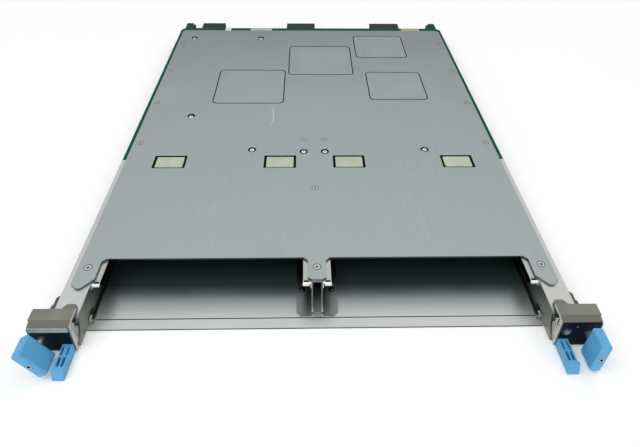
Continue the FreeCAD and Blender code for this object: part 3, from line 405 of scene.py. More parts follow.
bracket_coat = moulded("bracket_coat", (0.195, 0.193, 0.158), (0.243, 0.240, 0.197), (0.42, 0.55), 1400,
                       0.04, {"Metallic": 0.5})
blue_plastic = moulded("blue_plastic", (0.085, 0.355, 0.640), (0.110, 0.395, 0.695), (0.36, 0.48), 1800,
                       0.03)
black_plastic = moulded("black_plastic", (0.012, 0.028, 0.026), (0.024, 0.046, 0.043), (0.48, 0.62), 1500,
                        0.04, {SHINE: 0.08})
pad_foam = moulded("pad_foam", (0.44, 0.485, 0.375), (0.52, 0.565, 0.455), (0.70, 0.85), 1300, 0.08,
                   {SHINE: 0.15})
# Black of the chip parts, and of the sheets of painted shade in gaps.
chip_black_and_painted_shade = moulded("chip_black_and_painted_shade", (0.002, 0.003, 0.003), (0.004, 0.005, 0.005), (0.60, 0.75), 900, 0.02,
                     {SHINE: 0.1})
button_grey = moulded("button_grey", (0.115, 0.135, 0.145), (0.155, 0.180, 0.190), (0.35, 0.45), 1200, 0.02)
lens_plastic = moulded("lens_plastic", (0.045, 0.075, 0.055), (0.065, 0.100, 0.075), (0.25, 0.35), 700,
                       0.01, {"IOR": 1.49})
paper = {}
for name, dark, light in (("white", (0.74, 0.74, 0.73), (0.82, 0.82, 0.80)),
                          ("grey", (0.36, 0.40, 0.38), (0.44, 0.48, 0.46)),
                          ("yellow", (0.34, 0.33, 0.10), (0.42, 0.40, 0.14))):
    paper[name] = moulded("sticker_" + name, dark, light, (0.5, 0.6), 500, 0.01)
print("materials so far:", len(bpy.data.materials))

# %% [markdown]
# ## Films and the brackets' sides
# The small plates in front of the brackets are dark blue film. The left one has a pale band along its top,
# which is a step in colour by height. Each bracket's front lip is painted darker than the rest, as painted
# shade, and the side that faces the bays is pale. The sides are opposite faces, so each bracket needs its own
# copy of the coat.


# %% Films and bracket coats
BAND_HEIGHT = 4.6 * MM


def film(name, band_from=None):
    """Dark blue film; above band_from it is pale."""
    material = finish(name, {SHINE: 0.06})
    cloud = noise(material, 120.0)
    colour = tones(material, cloud, (0.0006, 0.0060, 0.0135), (0.0014, 0.0092, 0.0190))
    if band_from is not None:
        pale = tones(material, cloud, (0.30, 0.36, 0.38), (0.36, 0.42, 0.44))
        step = along(material, "Z", band_from - 0.1 * MM, band_from + 0.1 * MM)
        colour = mixed(material, step, colour, pale)
    wire(material, colour, "Base Color")
    rough_between(material, noise(material, 800.0), 0.34, 0.44)
    return material


label_low, label_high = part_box("left_label_plate")
film_left = film("film_left", label_high.z - BAND_HEIGHT)
film_right = film("film_right")
bracket_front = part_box("left_ejector_bracket")[0].y
# Painted shade: the front lip of both brackets is darker.
tint(bracket_coat, (0.150, 0.150, 0.120), ("Y", bracket_front + 5.9 * MM, bracket_front + 5.3 * MM))
for_side = {}
for side, way in (("left", 1), ("right", -1)):
    low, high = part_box(side + "_ejector_bracket")
    inner = high.x if side == "left" else low.x
    coat = bracket_coat.copy()
    coat.name = "bracket_coat_" + side
    tint(coat, (0.64, 0.64, 0.60), ("X", inner - way * 0.4 * MM, inner - way * 0.1 * MM))
    for_side[side] = coat
print("pale band from", round((label_high.z - BAND_HEIGHT) / MM, 1), "mm up")

# %% [markdown]
# ## Board and plated parts
# Green solder resist is a thin varnish over glass fibre, so it is a deep satin green with a weave. Screws,
# clips, contacts and package lids are plated metal with faint marks. The jack screws are dark along their
# rear and painted bright where they leave the bracket, a painted highlight on the shaft's neck.


# %% Board and fasteners
def plated(name, dark, light, roughness):
    """Plated small part: even metal with faint marks."""
    material = finish(name, {"Metallic": 1.0})
    marks = noise(material, 420.0, detail=4.0)
    wire(material, tones(material, marks, dark, light), "Base Color")
    rough_between(material, marks, *roughness)
    return material


board_varnish = finish("board_varnish", {SHINE: 0.03})
weave = noise(board_varnish, 260.0, detail=4.0)
wire(board_varnish, tones(board_varnish, weave, (0.003, 0.066, 0.038), (0.006, 0.100, 0.058)), "Base Color")
rough_between(board_varnish, weave, 0.42, 0.55)
bump(board_varnish, noise(board_varnish, 1200.0), 0.08, 0.03)
bright_zinc = plated("bright_zinc", (0.46, 0.48, 0.48), (0.60, 0.62, 0.61), (0.24, 0.38))
pale_zinc = plated("pale_zinc", (0.86, 0.88, 0.87), (0.94, 0.96, 0.95), (0.30, 0.42))
recess_shadow = plated("recess_shadow", (0.040, 0.044, 0.044), (0.070, 0.076, 0.076), (0.40, 0.50))
# Dark oxide of the bay screws, and painted shade in the knob screws' sockets.
dark_oxide_and_socket_shade = plated("dark_oxide_and_socket_shade", (0.030, 0.034, 0.042), (0.060, 0.066, 0.078), (0.20, 0.32))
package_nickel = plated("package_nickel", (0.34, 0.34, 0.35), (0.42, 0.42, 0.43), (0.35, 0.45))
heatsink_metal = sheet_metal("heatsink_metal", (0.56, 0.57, 0.57), (0.66, 0.67, 0.67), (0.05, 1.0, 1.0),
                             (0.35, 0.45))
gold = finish("contact_gold", {"Metallic": 1.0})
wire(gold, tones(gold, noise(gold, 300.0), (0.62, 0.42, 0.14), (0.78, 0.56, 0.22)), "Base Color")
rough_between(gold, noise(gold, 900.0), 0.25, 0.35)
shaft_plating = finish("shaft_plating", {"Metallic": 1.0})
shaft_marks = noise(shaft_plating, 500.0, (1.0, 0.08, 1.0))
shaft_dark = tones(shaft_plating, shaft_marks, (0.085, 0.078, 0.075), (0.15, 0.14, 0.135))
# Painted highlight on the neck in front of the label plate.
shaft_neck_highlight = tones(shaft_plating, shaft_marks, (0.80, 0.81, 0.80), (0.94, 0.95, 0.94))
behind_label = along(shaft_plating, "Y", label_low.y, label_low.y + 1.5 * MM)
wire(shaft_plating, mixed(shaft_plating, behind_label, shaft_neck_highlight, shaft_dark), "Base Color")
rough_between(shaft_plating, shaft_marks, 0.26, 0.40)
print("all materials:", len(bpy.data.materials))

# %% [markdown]
# ## Dress the CAD nodes
# Every node keeps its mesh and gets a finish in place of the plain one it came with. The table
# below goes from the record's material slots to finishes; a few nodes differ from their slot.

# %% Assign finishes to nodes
slot_finish = {
    "zinc_cover": zinc, "board_green": board_varnish, "bright_fastener": bright_zinc,
    "shaft_steel": shaft_plating, "heatsink_aluminium": heatsink_metal, "package_lid": package_nickel,
    "black_plastic": black_plastic, "cream_pad": pad_foam, "silver_rail": rail_sheet,
    "bay_floor_steel": pan_sheet, "bay_bracket_steel": spine_sheet, "taupe_bracket": bracket_coat,
    "navy_label": film_right, "blue_plastic": blue_plastic, "button_grey": button_grey,
    "lamp_lens": lens_plastic,
}
node_finish = {
    "left_label_plate": film_left, "divider_bracket_screws": dark_oxide_and_socket_shade,
    "left_ejector_bracket": for_side["left"], "right_ejector_bracket": for_side["right"],
}
slot_of = {part["node"]: part["material_slot"] for part in frame["record"]["subparts"]}
for node, thing in frame["nodes"].items():
    material = node_finish.get(node, slot_finish[slot_of[node]])
    if node.startswith("backing_plate"):
        material = zinc_plate
    if node.endswith("bay_guide"):
        material = guide_sheet
    thing.data.materials.clear()
    thing.data.materials.append(material)
print("dressed", len(frame["nodes"]), "nodes")

# %% [markdown]
# ## Where the fasteners are
# A group of screws is one CAD node with many loose solids. A copy of its mesh, with doubled
# points merged, falls apart into islands, and each island's box says where a screw sits, how
# wide its head is and how deep it goes. Nothing has to be typed in twice.


# %% Find the separate solids of a node
def islands(node):
    """Boxes of the loose solids in a CAD node, as (low, high) pairs."""
    work = bmesh.new()
    work.from_mesh(frame["nodes"][node].data)
    bmesh.ops.remove_doubles(work, verts=work.verts, dist=1e-6)
    unseen = set(work.verts)
    boxes = []
    while unseen:
        stack = [unseen.pop()]
        points = []
        while stack:
            vert = stack.pop()
            points.append(vert.co.copy())
            for edge in vert.link_edges:
                other = edge.other_vert(vert)
                if other in unseen:
                    unseen.remove(other)
                    stack.append(other)
        low = Vector([min(p[i] for p in points) for i in range(3)])
        high = Vector([max(p[i] for p in points) for i in range(3)])
        boxes.append((low, high))
    work.free()
    boxes.sort(key=lambda pair: tuple(round(v, 5) for v in pair[0]))
    return boxes


for node in ("cover_screws", "plate_screws", "board_screws", "rivets"):
    print(node, len(islands(node)), "solids")

# %% [markdown]
# ## Geometry Nodes for what repeats
# Screws and contacts repeat, so a node tree makes one and copies it to points. These short
# functions cover the nodes that the trees use most.


# %% Helpers for geometry trees
def new_tree(name, inputs):
    """A tree with a geometry in and out and the named inputs; what it is given, and its end."""
    tree = bpy.data.node_groups.new(name, "GeometryNodeTree")
    face = tree.interface
    for kind, labels in {"Geometry": ("Geometry",), **inputs}.items():
        for label in labels:
            face.new_socket(label, in_out="INPUT", socket_type="NodeSocket" + kind)
    face.new_socket("Geometry", in_out="OUTPUT", socket_type="NodeSocketGeometry")
    return tree, tree.nodes.new("NodeGroupInput").outputs, tree.nodes.new("NodeGroupOutput").inputs


def vector(tree, x=0.0, y=0.0, z=0.0):
    return add(tree, "ShaderNodeCombineXYZ", {"X": x, "Y": y, "Z": z})


def box(tree, size):
    return add(tree, "GeometryNodeMeshCube", {"Size": size})


def cylinder(tree, radius, depth, sides):
    return add(tree, "GeometryNodeMeshCylinder", {"Vertices": sides, "Radius": radius, "Depth": depth})


def moved(tree, geometry, offset, scale=(1, 1, 1)):
    return add(tree, "GeometryNodeTransform", {"Geometry": geometry, "Translation": offset, "Scale": scale})


def joined(tree, *geometries):
    output = add(tree, "GeometryNodeJoinGeometry", {})
    for geometry in geometries:
        put(tree, output.node.inputs["Geometry"], geometry)
    return output


def either(tree, switch, if_not, if_so):
    choices = {"Switch": switch, "False": if_not, "True": if_so}
    return add(tree, "GeometryNodeSwitch", choices, input_type="GEOMETRY")


def on_points(tree, points, shape, **turned_or_scaled):
    inputs = {"Points": points, "Instance": shape, **turned_or_scaled}
    return add(tree, "GeometryNodeInstanceOnPoints", inputs)


def painted(tree, geometry, material, selection=True):
    inputs = {"Geometry": geometry, "Selection": selection, "Material": material}
    return add(tree, "GeometryNodeSetMaterial", inputs)


print("tree helpers ready")

# %% [markdown]
# ## A screw's head
# The head is a slightly tapered disc or a dome. A boolean cuts a cross or a hexagon into its
# top, with the exact solver, because the fast one can leave so shallow a recess covered. The
# same boolean takes off what is below the head's foot, such as the lower half of the dome.


# %% Shape the head
ROUND_SIDES = 40
DOME_RINGS = 20
CUTTER = 50 * MM


def screw_head(tree, given, foot):
    """A head whose top is at height 0 and whose foot is at a height below it."""
    radius, height = given["Head Radius"], given["Head Height"]
    taper = add(tree, "GeometryNodeMeshCone", {
        "Vertices": ROUND_SIDES, "Radius Top": given["Top Radius"], "Radius Bottom": radius, "Depth": height})
    ball = add(tree, "GeometryNodeMeshUVSphere", {
        "Segments": ROUND_SIDES, "Rings": DOME_RINGS, "Radius": 1.0})
    at_foot = vector(tree, z=foot)
    dome = moved(tree, ball, at_foot, vector(tree, radius, radius, height))
    head = either(tree, given["Dome"], moved(tree, taper, at_foot), dome)
    width, length = given["Recess Width"], given["Recess Length"]
    deep = calculated(tree, "MULTIPLY", given["Recess Depth"], 2.0)
    cross = joined(tree, box(tree, vector(tree, length, width, deep)),
                   box(tree, vector(tree, width, length, deep)))
    hexagon = cylinder(tree, calculated(tree, "MULTIPLY", length, 0.5), deep, 6)
    recess = either(tree, given["Hexagon"], cross, hexagon)
    cut = add(tree, "GeometryNodeMeshBoolean", {"Mesh 1": head, "Mesh 2": recess},
              operation="DIFFERENCE", solver="EXACT")
    under = vector(tree, z=calculated(tree, "ADD", foot, -CUTTER / 2))
    put(tree, cut.node.inputs["Mesh 2"], moved(tree, box(tree, (CUTTER, CUTTER, CUTTER)), under))
    return cut


print("heads have", ROUND_SIDES, "sides")

# %% [markdown]
# ## Mark the recess
# The recess gets its own finish. Its faces are found by place: near the axis, under the head's
# top and over its foot. The mark is stored on the faces, so each copy of the head carries it.


# %% Mark the faces in the recess
RECESS_MARK = "recess"
RECESS_REACH = 0.6
EDGE_SHARE = 0.02


def marked(tree, head, given, foot):
    place = add(tree, "GeometryNodeInputPosition", {})
    where = add(tree, "ShaderNodeSeparateXYZ", {"Vector": place}).node.outputs
    squares = [calculated(tree, "MULTIPLY", where[axis], where[axis]) for axis in (0, 1)]
    reach = calculated(tree, "MULTIPLY", given["Recess Length"], RECESS_REACH)
    near = calculated(tree, "LESS_THAN", calculated(tree, "ADD", *squares),
                      calculated(tree, "MULTIPLY", reach, reach))
    sunk = calculated(tree, "LESS_THAN", where[2], calculated(tree, "MULTIPLY", foot, EDGE_SHARE))
    lifted = calculated(tree, "GREATER_THAN", where[2], calculated(tree, "MULTIPLY", foot, 1 - EDGE_SHARE))
    inside = calculated(tree, "MULTIPLY", near, calculated(tree, "MULTIPLY", sunk, lifted))
    return add(tree, "GeometryNodeStoreNamedAttribute", {
        "Geometry": head, "Name": RECESS_MARK, "Value": inside}, data_type="BOOLEAN", domain="FACE")


print("faces within", RECESS_REACH, "of a recess's length are marked")

# %% [markdown]
# ## Heads and shanks on points
# The tree takes points, each with its own shank length, and puts a head and a shank on every
# one. A seeded random turn keeps the recesses from lining up, as a real screwdriver leaves them.
# A shank is a cylinder of length 1 that each point stretches.


# %% Build the screw tree
def screw_tree():
    tree, given, result = new_tree("screws_on_points", {
        "Float": ("Head Radius", "Top Radius", "Head Height", "Shank Radius", "Recess Width",
                  "Recess Length", "Recess Depth"),
        "Bool": ("Dome", "Hexagon"), "Int": ("Seed",), "Material": ("Finish", "Recess Finish")})
    points = given["Geometry"]
    foot = calculated(tree, "MULTIPLY", given["Head Height"], -1.0)
    turn = add(tree, "FunctionNodeRandomValue", {2: 0.0, 3: math.pi / 2, "Seed": given["Seed"]}, 1,
               data_type="FLOAT")
    head = marked(tree, screw_head(tree, given, foot), given, foot)
    heads = on_points(tree, points, head, Rotation=vector(tree, z=turn))
    length = add(tree, "GeometryNodeInputNamedAttribute", {"Name": "shank_length"}, data_type="FLOAT")
    unit = moved(tree, cylinder(tree, given["Shank Radius"], 1.0, ROUND_SIDES), vector(tree, z=-0.5))
    shanks = on_points(tree, points, unit, Scale=vector(tree, 1.0, 1.0, length))
    lowered = add(tree, "GeometryNodeTranslateInstances", {
        "Instances": shanks, "Translation": vector(tree, z=foot), "Local Space": False})
    real = add(tree, "GeometryNodeRealizeInstances", {"Geometry": joined(tree, heads, lowered)})
    in_recess = add(tree, "GeometryNodeInputNamedAttribute", {"Name": RECESS_MARK}, data_type="BOOLEAN")
    whole = painted(tree, real, given["Finish"])
    put(tree, result["Geometry"], painted(tree, whole, given["Recess Finish"], in_recess))
    return tree


screws_on_points = screw_tree()
print("screw tree has", len(screws_on_points.nodes), "nodes")

# %% [markdown]
# ## From points to a finished set of screws
# The modifier's inputs are set by each socket's identifier before the object is evaluated.
# The evaluated result is copied to a plain mesh, and the modifier goes, because only meshes
# travel with the exported model.


# %% Run a tree on points
def run_tree(name, mesh, tree, wanted):
    """The tree's result on a mesh of points, as a plain mesh object."""
    holder = bpy.data.objects.new(name + "_points", mesh)
    scene.collection.objects.link(holder)
    modifier = holder.modifiers.new("tree", "NODES")
    modifier.node_group = tree
    for item in tree.interface.items_tree:
        if item.in_out == "INPUT" and item.name in wanted:
            modifier[item.identifier] = wanted[item.name]
    bpy.context.view_layer.update()
    shown = holder.evaluated_get(bpy.context.evaluated_depsgraph_get())
    plain = bpy.data.meshes.new_from_object(shown)
    plain.name = name
    bpy.data.objects.remove(holder)
    piece = bpy.data.objects.new(name, plain)
    scene.collection.objects.link(piece)
    return piece


print("node groups:", [tree.name for tree in bpy.data.node_groups])

# %% [markdown]
# ## The four sets of screws
# Screws with a cross recess hold the cover, the plates, the board and the spine. The recess is a
# share of the head's radius, so a larger head gets a larger recess. The places and the lengths
# come from the CAD screws, which the new ones replace. The bays' screws are domed.


# %% Put screws on points
RECESS_WIDTH = 0.26
RECESS_DEPTH = 0.6
SHORTEST_SHANK = 0.2 * MM


def middle(low, high):
    """The middle of a box: x, y and z."""
    return [(a + b) / 2 for a, b in zip(low, high)]


def radius_of(low, high):
    return (high.x - low.x) / 2


def make_screws(name, points, head_radius, head_height, shank_radius, recess, finishes, seed, **kind):
    """points: (place of the head's top, shank length); finishes: outside and in the recess."""
    mesh = bpy.data.meshes.new(name + "_points")
    mesh.from_pydata([tuple(place) for place, _ in points], [], [])
    lengths = mesh.attributes.new("shank_length", "FLOAT", "POINT")
    for item, (_, shank) in zip(lengths.data, points):
        item.value = max(shank, SHORTEST_SHANK)
    bevel = kind.pop("bevel", 0.9)
    return run_tree(name, mesh, screws_on_points, {
        "Head Radius": head_radius, "Top Radius": bevel * head_radius, "Head Height": head_height,
        "Shank Radius": shank_radius, "Recess Width": RECESS_WIDTH * head_radius,
        "Recess Length": recess * head_radius, "Recess Depth": RECESS_DEPTH * head_height,
        "Finish": finishes[0], "Recess Finish": finishes[1], "Seed": seed, **kind})


bright, pale, dark = (bright_zinc, recess_shadow), (pale_zinc, recess_shadow), (dark_oxide_and_socket_shade, dark_oxide_and_socket_shade)
# node, new piece, head height, shank radius, bevel, recess, finishes, seed
screw_sets = (
    ("cover_screws", "phillips_cover_screws", 0.9 * MM, 1.5 * MM, 0.95, 0.85, bright, 11),
    ("plate_screws", "phillips_plate_screws", 0.9 * MM, 1.3 * MM, 0.95, 0.60, bright, 12),
    ("board_screws", "phillips_board_screws", 1.2 * MM, 1.5 * MM, 0.92, 0.70, pale, 13),
    ("divider_bracket_screws", "domed_bay_screws", 1.9 * MM, 1.5 * MM, 1.0, 1.0, dark, 14),
)
for node, name, head_height, shank_radius, bevel, recess, finishes, seed in screw_sets:
    points = []
    for low, high in islands(node):
        x, y, _ = middle(low, high)
        points.append((Vector((x, y, high.z)), high.z - low.z - head_height))
    piece = make_screws(name, points, radius_of(*islands(node)[0]), head_height, shank_radius, recess,
                        finishes, seed, bevel=bevel, Dome=name.startswith("domed"))
    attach(piece, "card")
    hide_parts(node)
    print(name, len(piece.data.polygons), "faces")

# %% [markdown]
# ## Screws in the knobs
# Each knob is held to its shaft by a small socket screw whose head looks forward. It is made
# upright, then its mesh is turned so that the head faces the front. It rides with the knob.

# %% Knob screws
KNOB_HEAD_HEIGHT = 1.4 * MM
KNOB_SHANK_RADIUS = 1.2 * MM
KNOB_RECESS = 1.1
TO_FRONT = Matrix.Rotation(math.pi / 2, 4, "X")
for side in ("left", "right"):
    node = side + "_knob_screw"
    low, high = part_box(node)
    points = [(Vector((0, 0, 0)), high.y - low.y - KNOB_HEAD_HEIGHT)]
    # The socket's dark finish is painted shade in the hole.
    piece = make_screws(side + "_socket_knob_screw", points, radius_of(low, high), KNOB_HEAD_HEIGHT,
                        KNOB_SHANK_RADIUS, KNOB_RECESS, (bright_zinc, dark_oxide_and_socket_shade), 21, Hexagon=True)
    x, _, z = middle(low, high)
    piece.data.transform(Matrix.Translation((x, low.y, z)) @ TO_FRONT)
    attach(piece, side + "_ejector")
    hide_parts(node)
    print(piece.name, "at", tuple(round(v, 4) for v in (low + high) / 2))

# %% [markdown]
# ## Closed rings
# Black rings of painted shade and bezels are thin rings: the space between two outlines with the same number
# of points. A curve with a bevel could draw them too, but two outlines give sharp edges and an exact width.


# %% Rings and outlines
def ring_wall(work, outer, inner, z0, z1):
    """Closed ring between two outlines with the same number of points."""
    loops = [[work.verts.new((x, y, z)) for x, y in outline] for outline in (outer, inner) for z in (z0, z1)]
    outer_low, outer_high, inner_low, inner_high = loops
    for i in range(len(outer)):
        j = (i + 1) % len(outer)
        work.faces.new((outer_low[i], outer_low[j], outer_high[j], outer_high[i]))
        work.faces.new((inner_low[j], inner_low[i], inner_high[i], inner_high[j]))
        work.faces.new((outer_high[i], outer_high[j], inner_high[j], inner_high[i]))
        work.faces.new((outer_low[j], outer_low[i], inner_low[i], inner_low[j]))


def rectangle(low, high, side, end):
    """Outline of a box seen from above, grown by side across and end along."""
    x0, x1, y0, y1 = low.x - side, high.x + side, low.y - end, high.y + end
    return [(x0, y0), (x1, y0), (x1, y1), (x0, y1)]


def circle(x, y, radius, count=40):
    return [(x + radius * math.cos(2 * math.pi * i / count), y + radius * math.sin(2 * math.pi * i / count))
            for i in range(count)]


def finished(work, name, material):
    """bmesh to an object with outward normals."""
    bmesh.ops.recalc_face_normals(work, faces=work.faces)
    mesh = bpy.data.meshes.new(name)
    work.to_mesh(mesh)
    work.free()
    mesh.materials.append(material)
    piece = bpy.data.objects.new(name, mesh)
    scene.collection.objects.link(piece)
    return piece


print("ring helpers ready")

# %% [markdown]
# ## Painted shade on the board
# Round each cream pad, and round each screw in the cover's round holes, a black ring of painted shade lies on
# the board. The gap beside a pad then reads as a dark frame, and the gap round a screw as a dark ring. Each
# patch is a thin ring that lies on the board. Three of the screws sit a little forward of their holes, so
# there the ring is off centre.

# %% Black rings of painted shade on the board
PAD_SIDE_GAP = 2.6 * MM
PAD_END_GAP = 2.0 * MM
PAD_SHADE_OVERLAP = 0.1 * MM
HOLE_RADIUS = 4.35 * MM
HOLE_INNER = 0.9
SIDE_HOLE_SHIFT = 1.3 * MM
SIDE_HOLES_FROM = 50 * MM
LIFT = 0.02 * MM
board_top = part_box("circuit_board")[1].z
mask = (board_top + LIFT, board_top + 0.12 * MM)
rings = bmesh.new()
for low, high in islands("window_pads"):
    ring_wall(rings, rectangle(low, high, PAD_SIDE_GAP, PAD_END_GAP),
              rectangle(low, high, -PAD_SHADE_OVERLAP, -PAD_SHADE_OVERLAP), *mask)
for low, high in islands("board_screws"):
    x, y, _ = middle(low, high)
    shift = SIDE_HOLE_SHIFT if y > SIDE_HOLES_FROM else 0.0
    inner = circle(x, y, HOLE_INNER * radius_of(low, high))
    ring_wall(rings, circle(x, y + shift, HOLE_RADIUS), inner, *mask)
# Painted shade: black rings in the gaps round pads and screws.
board_gap_shade = finished(rings, "board_gap_shade", chip_black_and_painted_shade)
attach(board_gap_shade, "card")
print("board mask:", len(board_gap_shade.data.polygons), "faces")

# %% [markdown]
# ## Painted shade round the backing plates
# Each backing plate sits in a cut-out that is a little larger than the plate. A black ring of painted shade
# fills the gap and rises into a low lip over both edges, so the gap reads as a black line. The ring's two
# outlines are rounded rectangles with a shared corner centre.

# %% Painted shade in the plates' gaps
GAP_SHADE_CLEARANCE = 0.03 * MM
GAP_SHADE_FOOT = 0.05 * MM
GAP_SHADE_OVERLAP = 0.2 * MM
GAP_SHADE_LIP_HEIGHT = 0.05 * MM
PLATE_GAP = 0.9 * MM
PLATE_CORNER = 5.0 * MM


def rounded(low, high, grow, radius, steps=6):
    """Outline of a box seen from above, grown evenly, with round corners."""
    inset = radius - grow
    outline = []
    for cx, cy, start in ((high.x - inset, high.y - inset, 0), (low.x + inset, high.y - inset, 1),
                          (low.x + inset, low.y + inset, 2), (high.x - inset, low.y + inset, 3)):
        for step in range(steps + 1):
            angle = (start + step / steps) * math.pi / 2
            outline.append((cx + radius * math.cos(angle), cy + radius * math.sin(angle)))
    return outline


gap_shades = bmesh.new()
plate_nodes = sorted(node for node in frame["nodes"] if node.startswith("backing_plate"))
for node in plate_nodes:
    low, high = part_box(node)
    gap_shade_lip_foot = high.z + GAP_SHADE_CLEARANCE
    for outer, inner, z0, z1 in (
            (PLATE_GAP - GAP_SHADE_CLEARANCE, GAP_SHADE_CLEARANCE, low.z + GAP_SHADE_FOOT, gap_shade_lip_foot),
            (PLATE_GAP + GAP_SHADE_OVERLAP, -GAP_SHADE_OVERLAP, gap_shade_lip_foot, gap_shade_lip_foot + GAP_SHADE_LIP_HEIGHT)):
        ring_wall(gap_shades, rounded(low, high, outer, PLATE_CORNER + outer),
                  rounded(low, high, inner, PLATE_CORNER + inner), z0, z1)
# Painted shade: a black ring in each plate's gap.
plate_gap_shades = finished(gap_shades, "plate_gap_shades", chip_black_and_painted_shade)
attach(plate_gap_shades, "card")
print("gaskets round", len(plate_nodes), "plates")

# %% [markdown]
# ## Painted shade round the cover's screws
# Round each cover screw a dark ring of shade shows, in the gap between its head and the sheet. A thin black
# ring of painted shade lies on the cover there and reaches just under the head.

# %% Rings round the cover screws
SHADE_RING_REACH = 0.30 * MM
SHADE_RING_HEIGHT = 0.05 * MM
SHADE_RING_INNER = 0.94
cover_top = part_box("top_cover")[1].z
shade_ring_foot = cover_top + 0.01 * MM
shade_rings = bmesh.new()
for low, high in islands("cover_screws"):
    x, y, _ = middle(low, high)
    radius = radius_of(low, high)
    ring_wall(shade_rings, circle(x, y, radius + SHADE_RING_REACH), circle(x, y, SHADE_RING_INNER * radius),
              shade_ring_foot, shade_ring_foot + SHADE_RING_HEIGHT)
# Painted shade: a dark ring round each cover screw.
screw_shade_rings = finished(shade_rings, "cover_screw_shade_rings", chip_black_and_painted_shade)
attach(screw_shade_rings, "card")
print("cover top at", round(cover_top / MM, 2), "mm,", len(screw_shade_rings.data.polygons), "faces")

# %% [markdown]
# ## Spring clips in the bays' corners
# In the front corner of each bay a strip of spring steel stands against the rail's web and earths
# the module that slides in. Its foot lies on the pan and its top is curled over. The strip follows
# a path of straight runs and arcs, which is thickened to both sides and drawn out along Y.

# %% Spring clips
CLIP_SHEET = 0.4 * MM
CLIP_WIDTH = 3.4 * MM
CLIP_SETBACK = 6.8 * MM
CLIP_FOOT = 3.6 * MM
CLIP_RISE = 4.0 * MM
CLIP_CURL = 0.8 * MM
WEB_INNER = 180.5 * MM
BEND_STEPS = 5
CURL_STEPS = 9
CURL_END = 12


def clip_path(back, floor):
    """Centreline (across, up): foot, bend, upright and curl, with the bay at lower values."""
    path = [(back - CLIP_FOOT, floor), (back - CLIP_CURL, floor)]
    for step in range(1, BEND_STEPS + 1):
        angle = step * math.pi / 2 / BEND_STEPS
        path.append((back - CLIP_CURL * (1 - math.sin(angle)), floor + CLIP_CURL * (1 - math.cos(angle))))
    top = floor + CLIP_RISE
    for step in range(CURL_END):
        angle = step * math.pi / CURL_STEPS
        path.append((back - CLIP_CURL * (1 - math.cos(angle)), top + CLIP_CURL * math.sin(angle)))
    return path


def bent_strip(work, path, side, y0, y1):
    """Strip along path, mirrored by side, from y0 to y1."""
    rings = []
    for i, point in enumerate(path):
        before = Vector(path[max(i - 1, 0)])
        after = Vector(path[min(i + 1, len(path) - 1)])
        along_path = (after - before).normalized() * CLIP_SHEET / 2
        offset = Vector((-along_path.y, along_path.x))
        corners = [(Vector(point) + sign * offset, y) for sign, y in ((1, y0), (1, y1), (-1, y1), (-1, y0))]
        rings.append([work.verts.new((side * at.x, y, at.y)) for at, y in corners])
    for first, second in zip(rings, rings[1:]):
        for i in range(4):
            j = (i + 1) % 4
            work.faces.new((first[i], first[j], second[j], second[i]))
    work.faces.new(rings[0][::-1])
    work.faces.new(rings[-1])


clip_work = bmesh.new()
clip_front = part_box("base_pan")[0].y + CLIP_SETBACK
clip_floor = PAN_SHEET + CLIP_SHEET / 2 + 0.03 * MM
clip_back = WEB_INNER - CLIP_SHEET / 2 - 0.05 * MM
for side in (-1, 1):
    bent_strip(clip_work, clip_path(clip_back, clip_floor), side, clip_front, clip_front + CLIP_WIDTH)
spring_clips = finished(clip_work, "bay_spring_clips", bright_zinc)
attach(spring_clips, "card")
print("spring clips from", round(clip_front / MM, 1), "mm,", len(spring_clips.data.polygons), "faces")

# %% [markdown]
# ## Bezel round the button
# The status button stands in a thin bright ring on the right label plate. The ring is drawn
# flat, then turned to face the front.

# %% Button bezel
BEZEL_OUTER = 0.55 * MM
BEZEL_INNER = 0.25 * MM
BEZEL_HEIGHT = 0.25 * MM
low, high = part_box("status_button")
button_radius = radius_of(low, high)
plate_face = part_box("right_label_plate")[0].y
bezel_work = bmesh.new()
ring_wall(bezel_work, circle(0, 0, button_radius + BEZEL_OUTER), circle(0, 0, button_radius + BEZEL_INNER),
          LIFT, BEZEL_HEIGHT)
button_bezel = finished(bezel_work, "button_bezel", bright_zinc)
x, _, z = middle(low, high)
button_bezel.data.transform(Matrix.Translation((x, plate_face, z)) @ TO_FRONT)
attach(button_bezel, "card")
print("button radius", round(button_radius / MM, 2), "mm")

# %% [markdown]
# ## Bare stickers at the rear edge
# Three small stickers lie on the strip of board behind the cover: one white, one grey and one
# yellow. They stay blank. Each is a thin sheet with rounded corners.


# %% Stickers
STICKER_CORNER = 0.6 * MM
STICKER_TOP = 0.14 * MM


def sticker(name, low, high, material):
    work = bmesh.new()
    outline = rounded(low, high, 0, STICKER_CORNER, steps=4)
    bottom, top = [[work.verts.new((x, y, board_top + z)) for x, y in outline] for z in (LIFT, STICKER_TOP)]
    work.faces.new(top)
    work.faces.new(bottom[::-1])
    for i in range(len(outline)):
        j = (i + 1) % len(outline)
        work.faces.new((bottom[i], bottom[j], top[j], top[i]))
    return finished(work, name, material)


strip_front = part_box("top_cover")[1].y + 1.0 * MM
strip_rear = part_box("circuit_board")[1].y - 1.2 * MM
for name, x0, x1, colour in (("sticker_small", -132.7 * MM, -124.0 * MM, "white"),
                             ("sticker_wide", -93.9 * MM, -61.3 * MM, "grey"),
                             ("sticker_yellow", 139.2 * MM, 167.6 * MM, "yellow")):
    piece = sticker(name, Vector((x0, strip_front)), Vector((x1, strip_rear)), paper[colour])
    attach(piece, "card")
    print(name, "width", round((x1 - x0) / MM, 1), "mm")

# %% [markdown]
# ## Contacts in the rear connectors
# Each cell of a rear connector holds a pair of gold-plated spring blades. The cells repeat on a
# grid, so a second node tree puts one pair on each point. The tree's inputs are the blade's
# sizes and the gap between the two, and the points come from the connector's own box.


